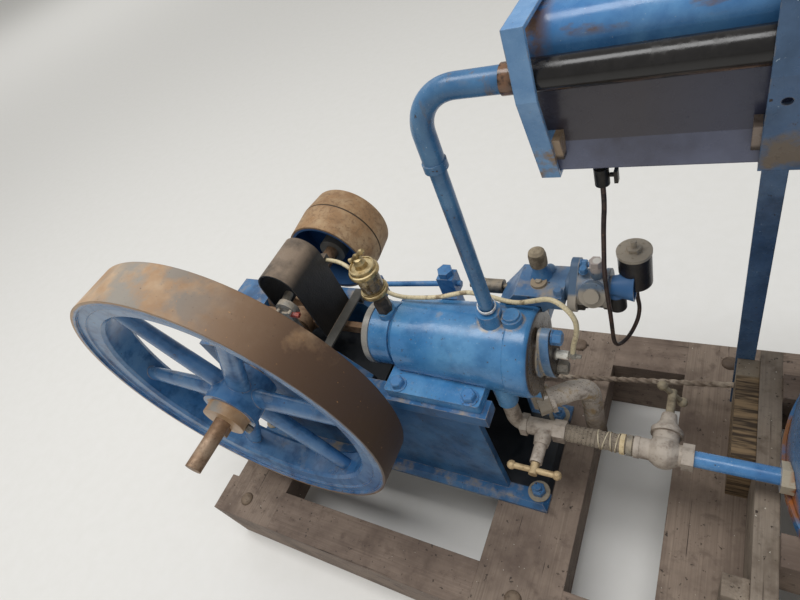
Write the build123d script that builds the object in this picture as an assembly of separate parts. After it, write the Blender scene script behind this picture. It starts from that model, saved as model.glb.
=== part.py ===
from build123d import *
import math
import os

# Horizontal open-crank engine on a timber skid, with its fuel tank, its water pipes
# and the round cooling tank that stands beside the cylinder head.
# X runs along the cylinder to the head, Y runs across from the flywheel to the belt
# pulley and Z is up. The shapes are drawn from the middle of the crank, and each one
# is moved as it is saved, so that the origin is the middle of the base, on the floor.

# Timber skid
runner_width = 84.0
runner_depth = 150.0
skid_half_width = 320.0
plank_width = 154.0
plank_depth = 75.0
skid_start = -262.0
skid_end_overhang = 24.0
first_plank = -166.0
second_plank = 469.0
third_plank = 762.0

# Flywheel, crank and belt pulley
flywheel_radius = 305.0
flywheel_face = 79.0
flywheel_near = -218.0
rim_depth = 52.0
rim_edge = 9.0
rim_recess = 4.0
rim_step = 24.0
spoke_count = 6
spoke_radius = 19.0
hub_radius = 52.0
hub_length = 76.0
boss_radius = 40.0
boss_length = 20.0
key_width = 9.0
key_height = 10.0
key_length = 70.0
shaft_radius = 15.0
stub_radius = 14.5
stub_length = 72.0
shaft_start = -328.0
pulley_radius = 96.0
pulley_near = 167.0
pulley_width = 119.0
pulley_wall = 9.0
pulley_crown = 5.0
pulley_hub_radius = 30.0
pulley_web = 14.0
pulley_groove_place = 0.55
crank_throw = 38.0
crank_pin_radius = 14.0
web_radius = 58.0
web_thickness = 18.0
pin_length = 34.0
big_end_radius = 26.0

# Engine bed
bed_height = 366.0
bed_half_width = 92.0
bed_wall = 13.0
bed_start = -190.0
bed_end = 410.0
foot_thickness = 15.0
foot_half_width = 116.0
foot_end = 489.0
foot_overhang = 50.0
foot_bevel = 9.0
foot_closed_length = 120.0
crankcase_end = 205.0
crankcase_slope = 150.0
pit_half_width = 56.0
pit_start = -90.0
pit_depth = 100.0
bed_flange_top = -42.0
bed_flange_thickness = 25.0
bed_flange_half_width = 109.0
bed_flange_end = 443.0
bearing_radius = 34.0
bearing_cap_length = 104.0
bearing_cap_foot = 14.0
cup_radius = 13.0
cup_height = 26.0

# Cylinder
barrel_start = 265.0
barrel_end = 508.0
barrel_start_radius = 64.0
barrel_end_radius = 70.0
barrel_shoulder = 12.0
band_length = 38.0
band_rise = 2.0
barrel_end_round = 10.0
collar_start = 215.0
collar_radius = 56.0
collar_ring_length = 12.0
collar_ring_radius = 58.0
bore_radius = 49.0
bore_depth = 150.0
piston_length = 60.0
piston_inset = 70.0
rod_half_height = 9.0
rod_half_width = 6.0
cylinder_foot_half_width = 102.0
cylinder_foot_thickness = 20.0
cylinder_foot_start = 262.0
cylinder_foot_end = 434.0
outlet_x = 445.0
outlet_boss_radius = 19.0
outlet_boss_height = 24.0
plug_cap_x = 478.0
plug_cap_y = 0.0
plug_cap_radius = 12.5
plug_cap_height = 14.0
inlet_x = 453.0
head_neck_length = 4.0
head_neck_radius = 38.0
head_plate_thickness = 18.0
head_plate_half_height = 53.0
head_plate_half_width = 25.0

# Bolts and nuts shared by several pieces
small_gap = 0.3
running_gap = 0.05

# Crank guard
guard_start_x = 58.0
guard_end_x = 135.0
guard_top = 182.0
guard_rear_foot = 72.0
guard_half_length = 45.0
guard_sheet = 3.0
guard_bar_start = 136.0
guard_bar_end = 155.0
guard_bar_height = 24.0
guard_bar_far = 72.0
timer_x = 104.0
timer_y = -50.0
timer_z = 111.0
spindle_start = (87.0, -52.0, 107.0)
spindle_end = (77.0, -18.0, 104.0)

# Oiler on the cylinder collar
oiler_x = 256.0
oiler_nut_low = 66.0
oiler_nut_top = 96.0
oiler_nut_radius = 14.0
oiler_base_low = 112.0
oiler_base_radius = 23.0
oiler_glass_radius = 19.0
oiler_cap_low = 156.0
oiler_cap_top = 172.0
oiler_cap_radius = 25.0
oiler_lever_top = 206.0

# Valve gear on the far side
pushrod_y = 100.0
pushrod_z = 27.0
pushrod_slope = 6.5
pushrod_radius = 5.0
pushrod_start = 142.0
pushrod_travel = 5.0
guide_x = 326.0
guide_half_length = 15.0
guide_top = 50.0
stem_y = 96.0
stem_z = 34.0
stem_radius = 5.0
spring_start = 388.0
spring_radius = 12.0
chest_start = 456.0
chest_end = 541.0
chest_front = 40.0
chest_back = 104.0
chest_top = 82.0
chest_bottom = -12.0
chest_neck_end = 504.0
chest_ledge = 57.0
chest_shoulder = 64.0
knob_x = 502.0
screw_disc_x = 502.0
screw_disc_radius = 12.0
knob_y = 83.0
knob_radius = 12.5
knob_height = 40.0
mixer_y = 80.0
mixer_z = 65.0
mixer_tilt = -30.0
mixer_flange_tilt = -51.0
mixer_flange_lift = 8.0
mixer_flange_length = 80.0
mixer_flange_start = 546.0
mixer_flange_end = 558.0
mixer_end = 594.0
mixer_radius = 28.0
bell_end = 633.0
bell_radius = 21.0
bell_lift = 8.0
air_cup_x = 631.0
air_cup_y = 98.0
air_cup_radius = 22.0
air_cup_low = 52.0
air_cup_lid = 122.0

# Water pipes
pipe_radius = 10.7
bend_pipe_radius = 13.2
riser_joint_height = 11.0
riser_bend = 52.0
riser_joint = 346.0
tube_start = 546.0
tube_radius = 15.0
tube_height = 443.0
water_y = -47.0
water_z = -155.0
elbow_radius = 13.0
tee_x = 502.0
union_x = 462.0
tee_radius = 15.0
hose_radius = 15.0
hose_start = 537.0
hose_end = 640.0
valve_x = 682.0
valve_body_radius = 25.0
valve_handle_y = 57.0
valve_handle_half = 25.0
valve_handle_turn = 55.0
blue_pipe_radius = 12.0
tap_handle_y = -123.0
handle_half_length = 37.0
handle_radius = 5.0

# Cooling tank
tank_x = 1105.0
tank_radius = 270.0
tank_wall = 2.0
tank_bottom = -198.0
tank_height = 500.0
tank_hoop = 5.0
tank_hoop_height = 18.0

# Timber stand of the cooling tank
bearer_thickness = 31.0
bearer_inset = 17.5
bearer_top = -212.0
bearer_half_length = 205.0
block_thickness = 33.0
block_drop = 8.0
far_block_start = 3.0
near_block_end = -174.0

# Fuel tank, its post and its straps
post_width = 28.0
wide_strap_width = 50.0
post_thickness = 8.0
post_x = 780.0
strap_hole_x = 768.0
strap_hole_rise = 403.0
strap_hole_radius = 4.0
fuel_start = 564.0
fuel_front = 17.0
fuel_back = 185.0
fuel_bottom = 326.0
fuel_top = 485.0
fuel_corner = 26.0
fuel_low_corner = 4.0
fuel_crease = 360.0
fuel_flare = 5.0
fuel_wall = 2.0
strap_thickness = 4.0
band_width = 20.0
strap_front = -16.0
strap_front_top = 492.0
strap_front_low = 428.0
spacer_low = 346.0
spacer_high = 374.0
tap_x = 615.0
tap_y = 38.0

# Exhaust
exhaust_radius = 16.8
exhaust_start = (514.0, -16.0, -104.0)
exhaust_drop = (564.0, 20.0)
exhaust_low = -262.0
exhaust_bend = 32.0
flange_thickness = 7.0

# Routes of the cords, from the crank height
lead_points = [(122.0, 60.0, 113.0), (146.0, 60.0, 113.0), (178.0, 49.0, 106.0), (210.0, 40.0, 93.0),
               (240.0, 34.0, 74.0), (258.0, 31.0, 67.0), (280.0, 28.0, 67.0), (313.0, 26.0, 72.0),
               (351.0, 27.0, 77.0), (379.0, 29.0, 86.0), (402.0, 31.0, 91.0), (428.0, 31.0, 87.0),
               (448.0, 30.0, 82.0), (467.0, 29.0, 78.0), (484.0, 28.0, 79.5), (505.0, 26.0, 89.0),
               (526.0, 22.0, 101.0), (538.0, 16.5, 106.0), (549.5, 11.0, 105.5), (559.5, 6.3, 100.0),
               (567.0, 3.0, 90.0), (570.0, 1.5, 76.0), (567.0, 0.6, 52.0), (559.5, 0.1, 27.0),
               (557.0, 0.0, 10.0)]
fuel_points = [(615.0, 38.0, 287.0), (615.0, 38.0, 262.0), (610.0, 41.0, 224.0), (607.0, 42.0, 184.0),
               (605.0, 38.0, 144.0), (606.0, 36.0, 104.0), (607.0, 36.0, 62.0), (606.0, 40.0, 24.0),
               (605.0, 44.0, -8.0), (607.0, 47.0, -23.0), (611.0, 56.0, -32.5), (617.0, 68.0, -36.0),
               (623.0, 80.0, -32.5), (628.0, 89.0, -23.0), (632.0, 93.0, -9.0), (634.0, 97.0, 12.0),
               (631.0, 98.0, 32.0), (631.0, 98.0, 52.0)]
lead_radius = 3.75
fuel_hose_radius = 3.0

crank_z = runner_depth + bed_height
timber_top = runner_depth
runner_inner = skid_half_width - runner_width
axis = crank_z
fourth_plank = 2 * tank_x - third_plank
skid_end = fourth_plank + plank_width / 2 + skid_end_overhang
base_middle_x = (skid_end - flywheel_radius) / 2
base_middle_y = (skid_half_width + shaft_start) / 2


def block(x0, x1, y0, y1, z0, z1):
    centre = ((x0 + x1) / 2, (y0 + y1) / 2, (z0 + z1) / 2)
    return Pos(*centre) * Box(abs(x1 - x0), abs(y1 - y0), abs(z1 - z0))


def along_x(x0, x1, y, z, radius, end_radius=None):
    place = Pos((x0 + x1) / 2, y, z) * Rot(0, 90, 0)
    if end_radius is None:
        return place * Cylinder(radius, abs(x1 - x0))
    return place * Cone(radius, end_radius, abs(x1 - x0))


def along_y(x, y0, y1, z, radius, end_radius=None):
    place = Pos(x, (y0 + y1) / 2, z) * Rot(-90, 0, 0)
    if end_radius is None:
        return place * Cylinder(radius, abs(y1 - y0))
    return place * Cone(radius, end_radius, abs(y1 - y0))


def upright(x, y, z0, z1, radius, end_radius=None):
    place = Pos(x, y, (z0 + z1) / 2)
    if end_radius is None:
        return place * Cylinder(radius, abs(z1 - z0))
    return place * Cone(radius, end_radius, abs(z1 - z0))


def hexagon(radius, height):
    return extrude(RegularPolygon(radius, 6), height)


def hex_up(x, y, z, radius, height):
    return Pos(x, y, z) * hexagon(radius, height)


def hex_x(x, y, z, radius, height):
    return Pos(x, y, z) * Rot(0, 90, 0) * hexagon(radius, height)


def save(shape, name):
    export_step(Pos(-base_middle_x, -base_middle_y, 0) * shape, f"parts/{name}.step")


os.makedirs("parts", exist_ok=True)


# Timber skid

def plank_notch(middle):
    return block(middle - plank_width / 2, middle + plank_width / 2,
                 -skid_half_width, skid_half_width, timber_top - plank_depth, timber_top)


left_bearer = tank_x - tank_radius - bearer_inset
right_bearer = tank_x + tank_radius + bearer_inset
planks = (first_plank, second_plank, third_plank, fourth_plank)

for name, side in (("near_runner", -1), ("far_runner", 1)):
    runner = block(skid_start, skid_end, side * runner_inner, side * skid_half_width, 0, timber_top)
    for middle in planks:
        runner -= plank_notch(middle)
    save(runner, name)

for number, middle in enumerate(planks):
    save(plank_notch(middle), f"cross_timber_{number + 1}")

# Stand of the cooling tank, on the third and fourth cross timbers
bearer_z = axis + bearer_top
rail_top = axis + tank_bottom
for name, middle in (("left_bearer", left_bearer), ("right_bearer", right_bearer)):
    save(block(middle - bearer_thickness / 2, middle + bearer_thickness / 2,
               -bearer_half_length, bearer_half_length, timber_top, bearer_z), name)
block_right = left_bearer - bearer_thickness / 2
block_left = block_right - block_thickness
post_front = fuel_back + strap_thickness
far_block = block(block_left, block_right, far_block_start, post_front,
                  timber_top, bearer_z - block_drop)
save(far_block, "far_sawn_block")
save(block(block_left, block_right, -bearer_half_length, near_block_end,
           timber_top, bearer_z - block_drop), "near_sawn_block")
rail_half = 130.0
rail_width = 45.0
rail_depth = 95.0
for name, side in (("near_tank_rail", -1), ("far_tank_rail", 1)):
    save(block(left_bearer + bearer_thickness / 2, right_bearer - bearer_thickness / 2,
               side * rail_half - rail_width / 2, side * rail_half + rail_width / 2,
               rail_top - rail_depth, rail_top), name)

# Flywheel with its tapered round spokes and machined boss
flywheel_middle = flywheel_near + flywheel_face / 2


def rim_profile():
    r = flywheel_radius
    w = flywheel_face
    inner = r - rim_depth
    near = [(r, 0), (r - rim_edge, 0), (r - rim_edge, rim_recess), (r - rim_step, rim_recess),
            (r - rim_step - 2, rim_recess + 3), (inner + 5, rim_recess + 6), (inner, rim_recess + 12)]
    far = [(a, w - b) for a, b in reversed(near)]
    return near + far


def turned(points, x, y, z):
    face = make_face(Polyline(*[(a, 0, b) for a, b in points], close=True))
    return Pos(x, y, z) * Rot(-90, 0, 0) * revolve(face, Axis.Z)


def spoke(angle):
    start = hub_radius - 8
    end = flywheel_radius - rim_depth + 8
    direction = Vector(math.cos(angle), 0, math.sin(angle))
    across = Vector(-math.sin(angle), 0, math.cos(angle))
    middle = Vector(0, flywheel_middle, axis)
    inner = Plane(middle + direction * start, x_dir=across, z_dir=direction)
    outer = Plane(middle + direction * end, x_dir=across, z_dir=direction)
    sections = [inner * Ellipse(spoke_radius * 1.25, spoke_radius * 0.8),
                outer * Ellipse(spoke_radius, spoke_radius * 0.62)]
    return loft(sections)


hub_near = flywheel_middle - hub_length / 2
boss_near = hub_near - boss_length
key_low = shaft_radius + running_gap
flywheel = turned(rim_profile(), 0, flywheel_near, axis)
flywheel += along_y(0, hub_near, hub_near + hub_length, axis, hub_radius)
for number in range(spoke_count):
    flywheel += spoke(2 * math.pi * number / spoke_count)
flywheel += along_y(0, boss_near, hub_near, axis, boss_radius)
flywheel -= along_y(0, boss_near - 1, hub_near + hub_length + 1, axis, shaft_radius + running_gap)
key_start = boss_near - 16
key_turn = Pos(0, 0, axis) * Rot(0, 15, 0)
key_space = key_turn * block(-key_width / 2 - running_gap, key_width / 2 + running_gap, boss_near - 1,
                             key_start + key_length, -key_low - key_height - running_gap, 0)
key_space -= along_y(0, boss_near - 2, key_start + key_length + 1, axis, shaft_radius)
flywheel -= key_space
save(flywheel, "flywheel")

key = key_turn * block(-key_width / 2, key_width / 2, boss_near, key_start + key_length,
                       -key_low - key_height, -shaft_radius + 3)
key += key_turn * block(-key_width / 2, key_width / 2, key_start, boss_near,
                        -key_low - key_height - 7, -shaft_radius + 3)

# Crankshaft with its throw turned towards the cylinder
shaft_end = pulley_near + pulley_width - 20
stub_end = shaft_start + stub_length
crankshaft = along_y(0, stub_end, -pin_length / 2, axis, shaft_radius)
crankshaft += along_y(0, shaft_start, stub_end, axis, stub_radius)
crankshaft += along_y(0, pin_length / 2, shaft_end, axis, shaft_radius)
for side in (-1, 1):
    crankshaft += along_y(0, side * pin_length / 2, side * (pin_length / 2 + web_thickness),
                          axis, web_radius)
crankshaft += along_y(crank_throw, -pin_length / 2, pin_length / 2, axis, crank_pin_radius)
save(crankshaft + key, "crankshaft")

big_end = along_y(crank_throw, -pin_length / 2 + 1, pin_length / 2 - 1, axis, big_end_radius)
big_end -= along_y(crank_throw, -pin_length, pin_length, axis, crank_pin_radius + running_gap)
save(big_end, "big_end")

# Belt pulley with a crowned face, one web and a grey hub
pulley_inner = pulley_radius - pulley_wall
pulley_middle = pulley_near + pulley_width * 0.55
groove = pulley_width * pulley_groove_place
rim_points = [(pulley_radius - pulley_crown, 0), (pulley_radius, groove - 1.5),
              (pulley_radius - 1.5, groove), (pulley_radius, groove + 1.5),
              (pulley_radius - pulley_crown, pulley_width), (pulley_inner - pulley_crown, pulley_width),
              (pulley_inner - pulley_crown, 0)]
pulley = turned(rim_points, 0, pulley_near, axis)
pulley += along_y(0, pulley_middle, pulley_middle + pulley_web, axis, pulley_inner - 2)
pulley += along_y(0, pulley_near + 22, pulley_near + pulley_width - 26, axis, pulley_hub_radius)
pulley -= along_y(0, pulley_near - 1, pulley_near + pulley_width + 1, axis, shaft_radius + running_gap)
save(pulley, "belt_pulley")

# Engine bed: a hollow casting with a crank pit, two bearing seats and side flanges
foot_top = timber_top + foot_thickness
bed_face = axis + bed_flange_top
flange_low = bed_face - bed_flange_thickness
side_view = [(bed_start, foot_top - 1), (bed_end, foot_top - 1), (bed_end, flange_low),
             (crankcase_end, flange_low), (crankcase_slope, axis), (bed_start, axis)]


def side_plate(points, y0, y1):
    face = make_face(Polyline(*[(a, y1, b) for a, b in points], close=True))
    return extrude(face, amount=abs(y1 - y0), dir=(0, -1, 0))


bed = side_plate(side_view, -bed_half_width, bed_half_width)
pit_floor = axis - pit_depth
bed -= block(bed_start + bed_wall, bed_end + 1, -bed_half_width + bed_wall, bed_half_width - bed_wall,
             timber_top - 1, pit_floor - bed_wall)
bed -= block(pit_start, bed_end + 1, -pit_half_width, pit_half_width, pit_floor, axis + 1)
bed -= block(crankcase_end, bed_end + 1, -bed_half_width + bed_wall, bed_half_width - bed_wall,
             pit_floor - bed_wall - 1, axis)
foot = block(bed_start - foot_overhang, foot_end, -foot_half_width, foot_half_width, timber_top, foot_top)
foot = chamfer(foot.faces().sort_by(Axis.Z)[-1].edges(), foot_bevel)
foot -= block(bed_start + bed_wall, bed_end - foot_closed_length, -bed_half_width + bed_wall,
              bed_half_width - bed_wall, timber_top - 1, foot_top + 1)
bed += foot
ledge_inner = max(barrel_start_radius, barrel_end_radius) + 5
for side in (-1, 1):
    bed += block(crankcase_end - 8, bed_flange_end, side * ledge_inner, side * bed_flange_half_width,
                 flange_low, bed_face)
    bed += along_y(0, side * pit_half_width, side * (bed_half_width + 16), axis, bearing_radius)
bed -= block(-bearing_radius - 60, bearing_radius + 60, -bed_half_width - 20, bed_half_width + 20,
             axis, axis + bearing_radius + 1)
bed -= along_y(0, -bed_half_width - 20, bed_half_width + 20, axis, shaft_radius + running_gap)
save(bed, "engine_bed")

for name, side in (("near_bearing_cap", -1), ("far_bearing_cap", 1)):
    start = side * (pit_half_width + 3)
    end = side * (bed_half_width + 12)
    cap = along_y(0, start, end, axis, bearing_radius)
    cap += block(-bearing_cap_length / 2, bearing_cap_length / 2, start, end, axis, axis + bearing_cap_foot)
    cap -= block(-bearing_radius - 9, bearing_radius + 9, start, end, axis - bearing_radius - 9, axis)
    cap -= along_y(0, start - side * 5, end + side * 5, axis, shaft_radius + running_gap)
    middle_y = (start + end) / 2
    for place_x in (-bearing_cap_length / 2 + 9, bearing_cap_length / 2 - 9):
        cap += hex_up(place_x, middle_y, axis + bearing_cap_foot, 8.5, 8)
    grease_low = axis + bearing_radius - 4
    grease = upright(0, middle_y, grease_low, grease_low + 10, 6)
    grease += upright(0, middle_y, grease_low + 10, grease_low + 10 + cup_height, cup_radius)
    save(cap + grease, name)

# Cylinder: jacket, collar, mounting foot and pipe bosses in one casting
band_start = barrel_end - band_length
band_radius = barrel_end_radius + band_rise
rounded_end = []
for number in range(6):
    angle = math.radians(18 * number)
    rounded_end.append((band_radius - barrel_end_round * (1 - math.cos(angle)),
                        barrel_end - barrel_end_round * (1 - math.sin(angle))))
jacket_points = [(bore_radius, collar_start), (collar_ring_radius, collar_start),
                 (collar_ring_radius, collar_start + collar_ring_length),
                 (collar_radius, collar_start + collar_ring_length), (collar_radius, barrel_start),
                 (barrel_start_radius - barrel_shoulder, barrel_start),
                 (barrel_start_radius, barrel_start + barrel_shoulder),
                 (barrel_end_radius, band_start), (band_radius, band_start + 2),
                 *rounded_end, (0, barrel_end),
                 (0, collar_start + bore_depth), (bore_radius, collar_start + bore_depth)]
jacket_face = make_face(Polyline(*[(b, 0, axis + a) for a, b in jacket_points], close=True))
cylinder = revolve(jacket_face, Axis((0, 0, axis), (1, 0, 0)))
bore = along_x(collar_start - 1, collar_start + bore_depth, 0, axis, bore_radius)
plate = block(cylinder_foot_start, cylinder_foot_end, -cylinder_foot_half_width,
              cylinder_foot_half_width, bed_face, bed_face + cylinder_foot_thickness)
plate = fillet(plate.edges().filter_by(Axis.Z), 6)
cylinder += plate - bore
barrel_top = axis + (barrel_start_radius + barrel_end_radius) / 2
cylinder += upright(outlet_x, 0, axis + barrel_start_radius - 8, barrel_top + outlet_boss_height,
                    outlet_boss_radius)
cylinder += upright(plug_cap_x, plug_cap_y, axis + barrel_end_radius - 8,
                    barrel_top + plug_cap_height, plug_cap_radius + 3)
inlet_low = axis - barrel_end_radius - 10
cylinder += upright(inlet_x, water_y, inlet_low, axis - 20, 17)
cylinder += upright(oiler_x, 0, axis + collar_radius - 4, axis + oiler_nut_low, oiler_nut_radius + 2)
cylinder -= bore
plug_low = barrel_top + plug_cap_height
cylinder += upright(plug_cap_x, plug_cap_y, plug_low, plug_low + 5, plug_cap_radius)
ex, ey, ez = exhaust_start
drop_x, drop_y = exhaust_drop
heading = Vector(drop_x - ex, drop_y - ey, 0).normalized()
flange_back = Vector(ex, ey, axis + ez) - heading * flange_thickness
passage = Cylinder(exhaust_radius + 5, 20)
outlet = Plane(flange_back - heading * 20, z_dir=heading) * Pos(0, 0, 10) * passage
outlet += block(barrel_end - 20, barrel_end - 1, ey - 20, ey + 20, axis + ez - 12, axis - 50)
outlet -= Plane(flange_back, z_dir=heading) * Pos(0, 0, 25) * Box(90, 90, 50)
cylinder += outlet
save(cylinder, "cylinder_casting")

plate_top = bed_face + cylinder_foot_thickness
piston_start = collar_start + piston_inset
piston = along_x(piston_start, piston_start + piston_length, 0, axis, bore_radius - running_gap)
rod_start = crank_throw + big_end_radius + 5.5
rod = block(rod_start, piston_start, -rod_half_width, rod_half_width,
            axis - rod_half_height, axis + rod_half_height)
save(piston + rod, "piston_and_rod")

# Cylinder head with its studs and spark plug
plate_start = barrel_end + head_neck_length
head_face = plate_start + head_plate_thickness
head = along_x(barrel_end, plate_start + 1, 0, axis, head_neck_radius)
oval = Ellipse(head_plate_half_width, head_plate_half_height)
plate_place = Plane((plate_start, 0, axis), x_dir=(0, 1, 0), z_dir=(1, 0, 0))
head_plate = extrude(plate_place * oval, head_plate_thickness)
head_plate = fillet(head_plate.edges().group_by(Axis.X)[-1], 3)
save(head + head_plate, "cylinder_head")
plug_z = axis + 1
plug = along_x(head_face, head_face + 3, 0, plug_z, 9)
plug += along_x(head_face + 3, head_face + 20, 0, plug_z, 6.5)
plug += along_x(head_face + 20, head_face + 38, 0, plug_z, 3.2)
plug_end_x, plug_end_y, plug_end_z = lead_points[-1]
plug += upright(plug_end_x, plug_end_y, plug_z - 3, axis + plug_end_z - small_gap, 4.5)
save(plug, "spark_plug")

# Crank guard: a bent sheet hood on an angle bar across the bed
guard_middle = (guard_start_x + guard_end_x) / 2
guard_bend = (guard_end_x - guard_start_x) / 2
spring_line = axis + guard_top - guard_bend
guard_low = axis + guard_bar_height


def guard_shape(bend, length):
    shape = block(guard_middle - bend, guard_middle + bend, -length, length, guard_low, spring_line)
    return shape + along_y(guard_middle, -length, length, spring_line, bend)


guard = guard_shape(guard_bend, guard_half_length)
guard -= guard_shape(guard_bend - guard_sheet, guard_half_length + 1)
guard -= block(guard_start_x - 1, guard_middle, -guard_half_length - 1, guard_half_length + 1,
               guard_low - 1, axis + guard_rear_foot)
guard += block(guard_end_x - guard_sheet, guard_bar_start, -guard_half_length, guard_half_length,
               guard_low - 4, guard_low)
guard += block(guard_bar_start, guard_bar_end, -bed_half_width, guard_bar_far, guard_low - 4, guard_low)
for start, end in ((-bed_half_width + 2, -pit_half_width - 6), (pit_half_width + 2, guard_bar_far)):
    guard += block(guard_bar_start, crankcase_slope, start, end, axis, guard_low)
# Ignition timer: a pillar on the bed, a light cap with two studs and a grey spindle
timer = block(timer_x - 9, timer_x + 9, timer_y - 16, timer_y - 8, axis, axis + timer_z)
timer += along_y(timer_x, timer_y - 12, timer_y, axis + timer_z, 20)
spindle_line = Vector(*spindle_end) - Vector(*spindle_start)
spindle_place = Plane(Vector(*spindle_start) + Vector(0, 0, axis), z_dir=spindle_line)
timer += spindle_place * Pos(0, 0, spindle_line.length / 2 - 4) * Cylinder(8, spindle_line.length + 8)
for side in (-1, 1):
    timer += along_y(timer_x + side * 13, timer_y - 20, timer_y - 6, axis + timer_z + 4, 3.5)
save(timer, "ignition_timer")

# Lead terminal on the far edge of the guard
terminal_x, terminal_y, terminal_z = lead_points[0]
guard += block(terminal_x - 12, guard_end_x - guard_sheet, guard_half_length - 14, guard_half_length,
               axis + terminal_z - 9, axis + terminal_z + 9)
guard += block(terminal_x - 12, terminal_x, guard_half_length - 1, terminal_y + 8,
               axis + terminal_z - 9, axis + terminal_z + 9)
save(guard, "crank_guard")

# Oiler: stem nut, ring, glass and cap with its little lever
nut = hex_up(oiler_x, 0, axis + oiler_nut_low, oiler_nut_radius, oiler_nut_top - oiler_nut_low)
nut += upright(oiler_x, 0, axis + oiler_nut_top, axis + oiler_base_low, 7)
nut += upright(oiler_x, 0, axis + oiler_base_low, axis + oiler_base_low + 7, oiler_base_radius)
glass_low = axis + oiler_base_low + 7
glass = upright(oiler_x, 0, glass_low, axis + oiler_cap_low, oiler_glass_radius)
cap_top = axis + oiler_cap_top
cap = upright(oiler_x, 0, axis + oiler_cap_low, cap_top - 5, oiler_cap_radius)
cap += upright(oiler_x, 0, cap_top - 5, cap_top, oiler_cap_radius - 5)
cap += upright(oiler_x, 0, cap_top, cap_top + 14, 7)
cap += upright(oiler_x, 0, cap_top + 14, axis + oiler_lever_top - 4, 4)
lever_z = axis + oiler_lever_top - 4
cap += along_x(oiler_x - 6, oiler_x + 14, 0, lever_z, 4)
save(nut + glass + cap, "oiler")

# Pushrod that slides in a bearing on the bed and in a guide beside the barrel
guide_bore = pushrod_radius + running_gap


def on_rod(distance, shape):
    return Pos(guide_x, pushrod_y, axis + pushrod_z) * Rot(0, 90 - pushrod_slope, 0) \
        * Pos(0, 0, distance) * shape


rod_reach = (guide_x - pushrod_start) / math.cos(math.radians(pushrod_slope))
rod_tip = guide_half_length + 8
pushrod_length = rod_reach + rod_tip
pushrod = on_rod((rod_tip - rod_reach) / 2, Cylinder(pushrod_radius, pushrod_length))
save(pushrod, "pushrod")
bore_tool = on_rod(0, Cylinder(guide_bore, 3 * pushrod_length))
rear_z = axis + pushrod_z - (guide_x - pushrod_start) * math.tan(math.radians(pushrod_slope))
rear = block(pushrod_start + 8, pushrod_start + 34, bed_half_width, pushrod_y + 12,
             rear_z - 30, rear_z + 16)
save(rear - bore_tool, "pushrod_bearing")
guide = block(guide_x - guide_half_length, guide_x + guide_half_length, pushrod_y - 13, pushrod_y + 13,
              axis + pushrod_z - 18, axis + guide_top)
guide += block(guide_x - guide_half_length, guide_x + guide_half_length, pushrod_y - 20,
               cylinder_foot_half_width, plate_top, axis + pushrod_z - 18)
guide -= along_x(barrel_start, barrel_end, 0, axis, barrel_end_radius + 1)
guide -= bore_tool
guide += hex_up(guide_x, pushrod_y, axis + guide_top, 14, 12)
save(guide, "pushrod_guide")

# Valve stem with its spring and collar, in line with the chest
stem_start = guide_x + guide_half_length + rod_tip + pushrod_travel
stem = along_x(stem_start, chest_start, stem_y, axis + stem_z, stem_radius)
stem += along_x(stem_start + 16, stem_start + 24, stem_y, axis + stem_z, spring_radius + 1)
stem += along_x(spring_start, spring_start + 40, stem_y, axis + stem_z, spring_radius)
save(stem, "valve_stem")

# Valve chest against the far side of the barrel end and of the head
chest_view = [(chest_start - 26, chest_bottom), (chest_neck_end, chest_bottom),
              (chest_neck_end, chest_ledge - 16), (chest_neck_end + 16, chest_ledge),
              (chest_end, chest_ledge), (chest_end, chest_top),
              (chest_start + 14, chest_top), (chest_start, chest_shoulder),
              (chest_start - 26, chest_shoulder - 30)]
chest_points = [(a, axis + b) for a, b in chest_view]
chest = side_plate(chest_points, chest_front, chest_back)
chest -= along_x(collar_start, barrel_end, 0, axis, band_radius + small_gap)
chest -= along_x(barrel_end - 1, head_face + 16, 0, axis, barrel_end_radius - 8)
chest -= block(chest_start - 27, spring_start + 40.5, chest_front - 1, chest_back + 1,
               axis + chest_bottom - 1, axis + chest_top)
knob_z = axis + chest_top + knob_height
chest += upright(knob_x, knob_y, axis + chest_top, knob_z, knob_radius * 0.55)
chest += Pos(knob_x, knob_y, knob_z) * Sphere(knob_radius)
chest += upright(screw_disc_x, chest_front + 27, axis + chest_top, axis + chest_top + 4, screw_disc_radius)
chest -= along_x(stem_start, chest_start, stem_y, axis + stem_z, stem_radius)
save(chest, "valve_chest")

# Fuel mixer on the chest, turned about its own line


def on_mixer(x, shape):
    return Pos(x, mixer_y, axis + mixer_z) * Rot(mixer_tilt, 0, 0) * shape


flange_middle = (mixer_flange_start + mixer_flange_end) / 2
half_thickness = (mixer_flange_end - mixer_flange_start) / 2
flange = extrude(SlotOverall(mixer_flange_length, 32), half_thickness, both=True)
mixer = Pos(flange_middle, mixer_y - 3, axis + mixer_z + mixer_flange_lift) * Rot(mixer_flange_tilt, 0, 0) \
    * Rot(0, 90, 0) * flange
mixer += along_x(chest_end, mixer_flange_start, mixer_y, axis + mixer_z, mixer_radius - 6)
mixer += along_x(mixer_flange_end, mixer_end, mixer_y, axis + mixer_z, mixer_radius)
mixer += along_x(mixer_end, mixer_end + 6, mixer_y, axis + mixer_z, mixer_radius + 2)
mixer_middle = (mixer_flange_end + mixer_end) / 2 + 5
mixer += on_mixer(mixer_middle, Pos(0, -mixer_radius, 0) * Rot(90, 0, 0) * Cylinder(19, 12))
mixer += upright(mixer_middle + 3, mixer_y, axis + mixer_z, axis + mixer_z + mixer_radius + 20, 9)
mixer += upright(mixer_end + 13, mixer_y, axis + mixer_z - 37, axis + mixer_z, 13)
mixer += on_mixer(mixer_middle, Pos(0, -mixer_radius - 9, 0) * Rot(90, 0, 0) * Cylinder(11, 8))
mixer += hex_up(mixer_middle + 3, mixer_y, axis + mixer_z + mixer_radius + 20, 9, 9)
bell_start = mixer_end + 6
bell_z = axis + mixer_z + bell_lift
bell = along_x(bell_start, bell_end, mixer_y, bell_z, bell_radius * 0.65, bell_radius)
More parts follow.
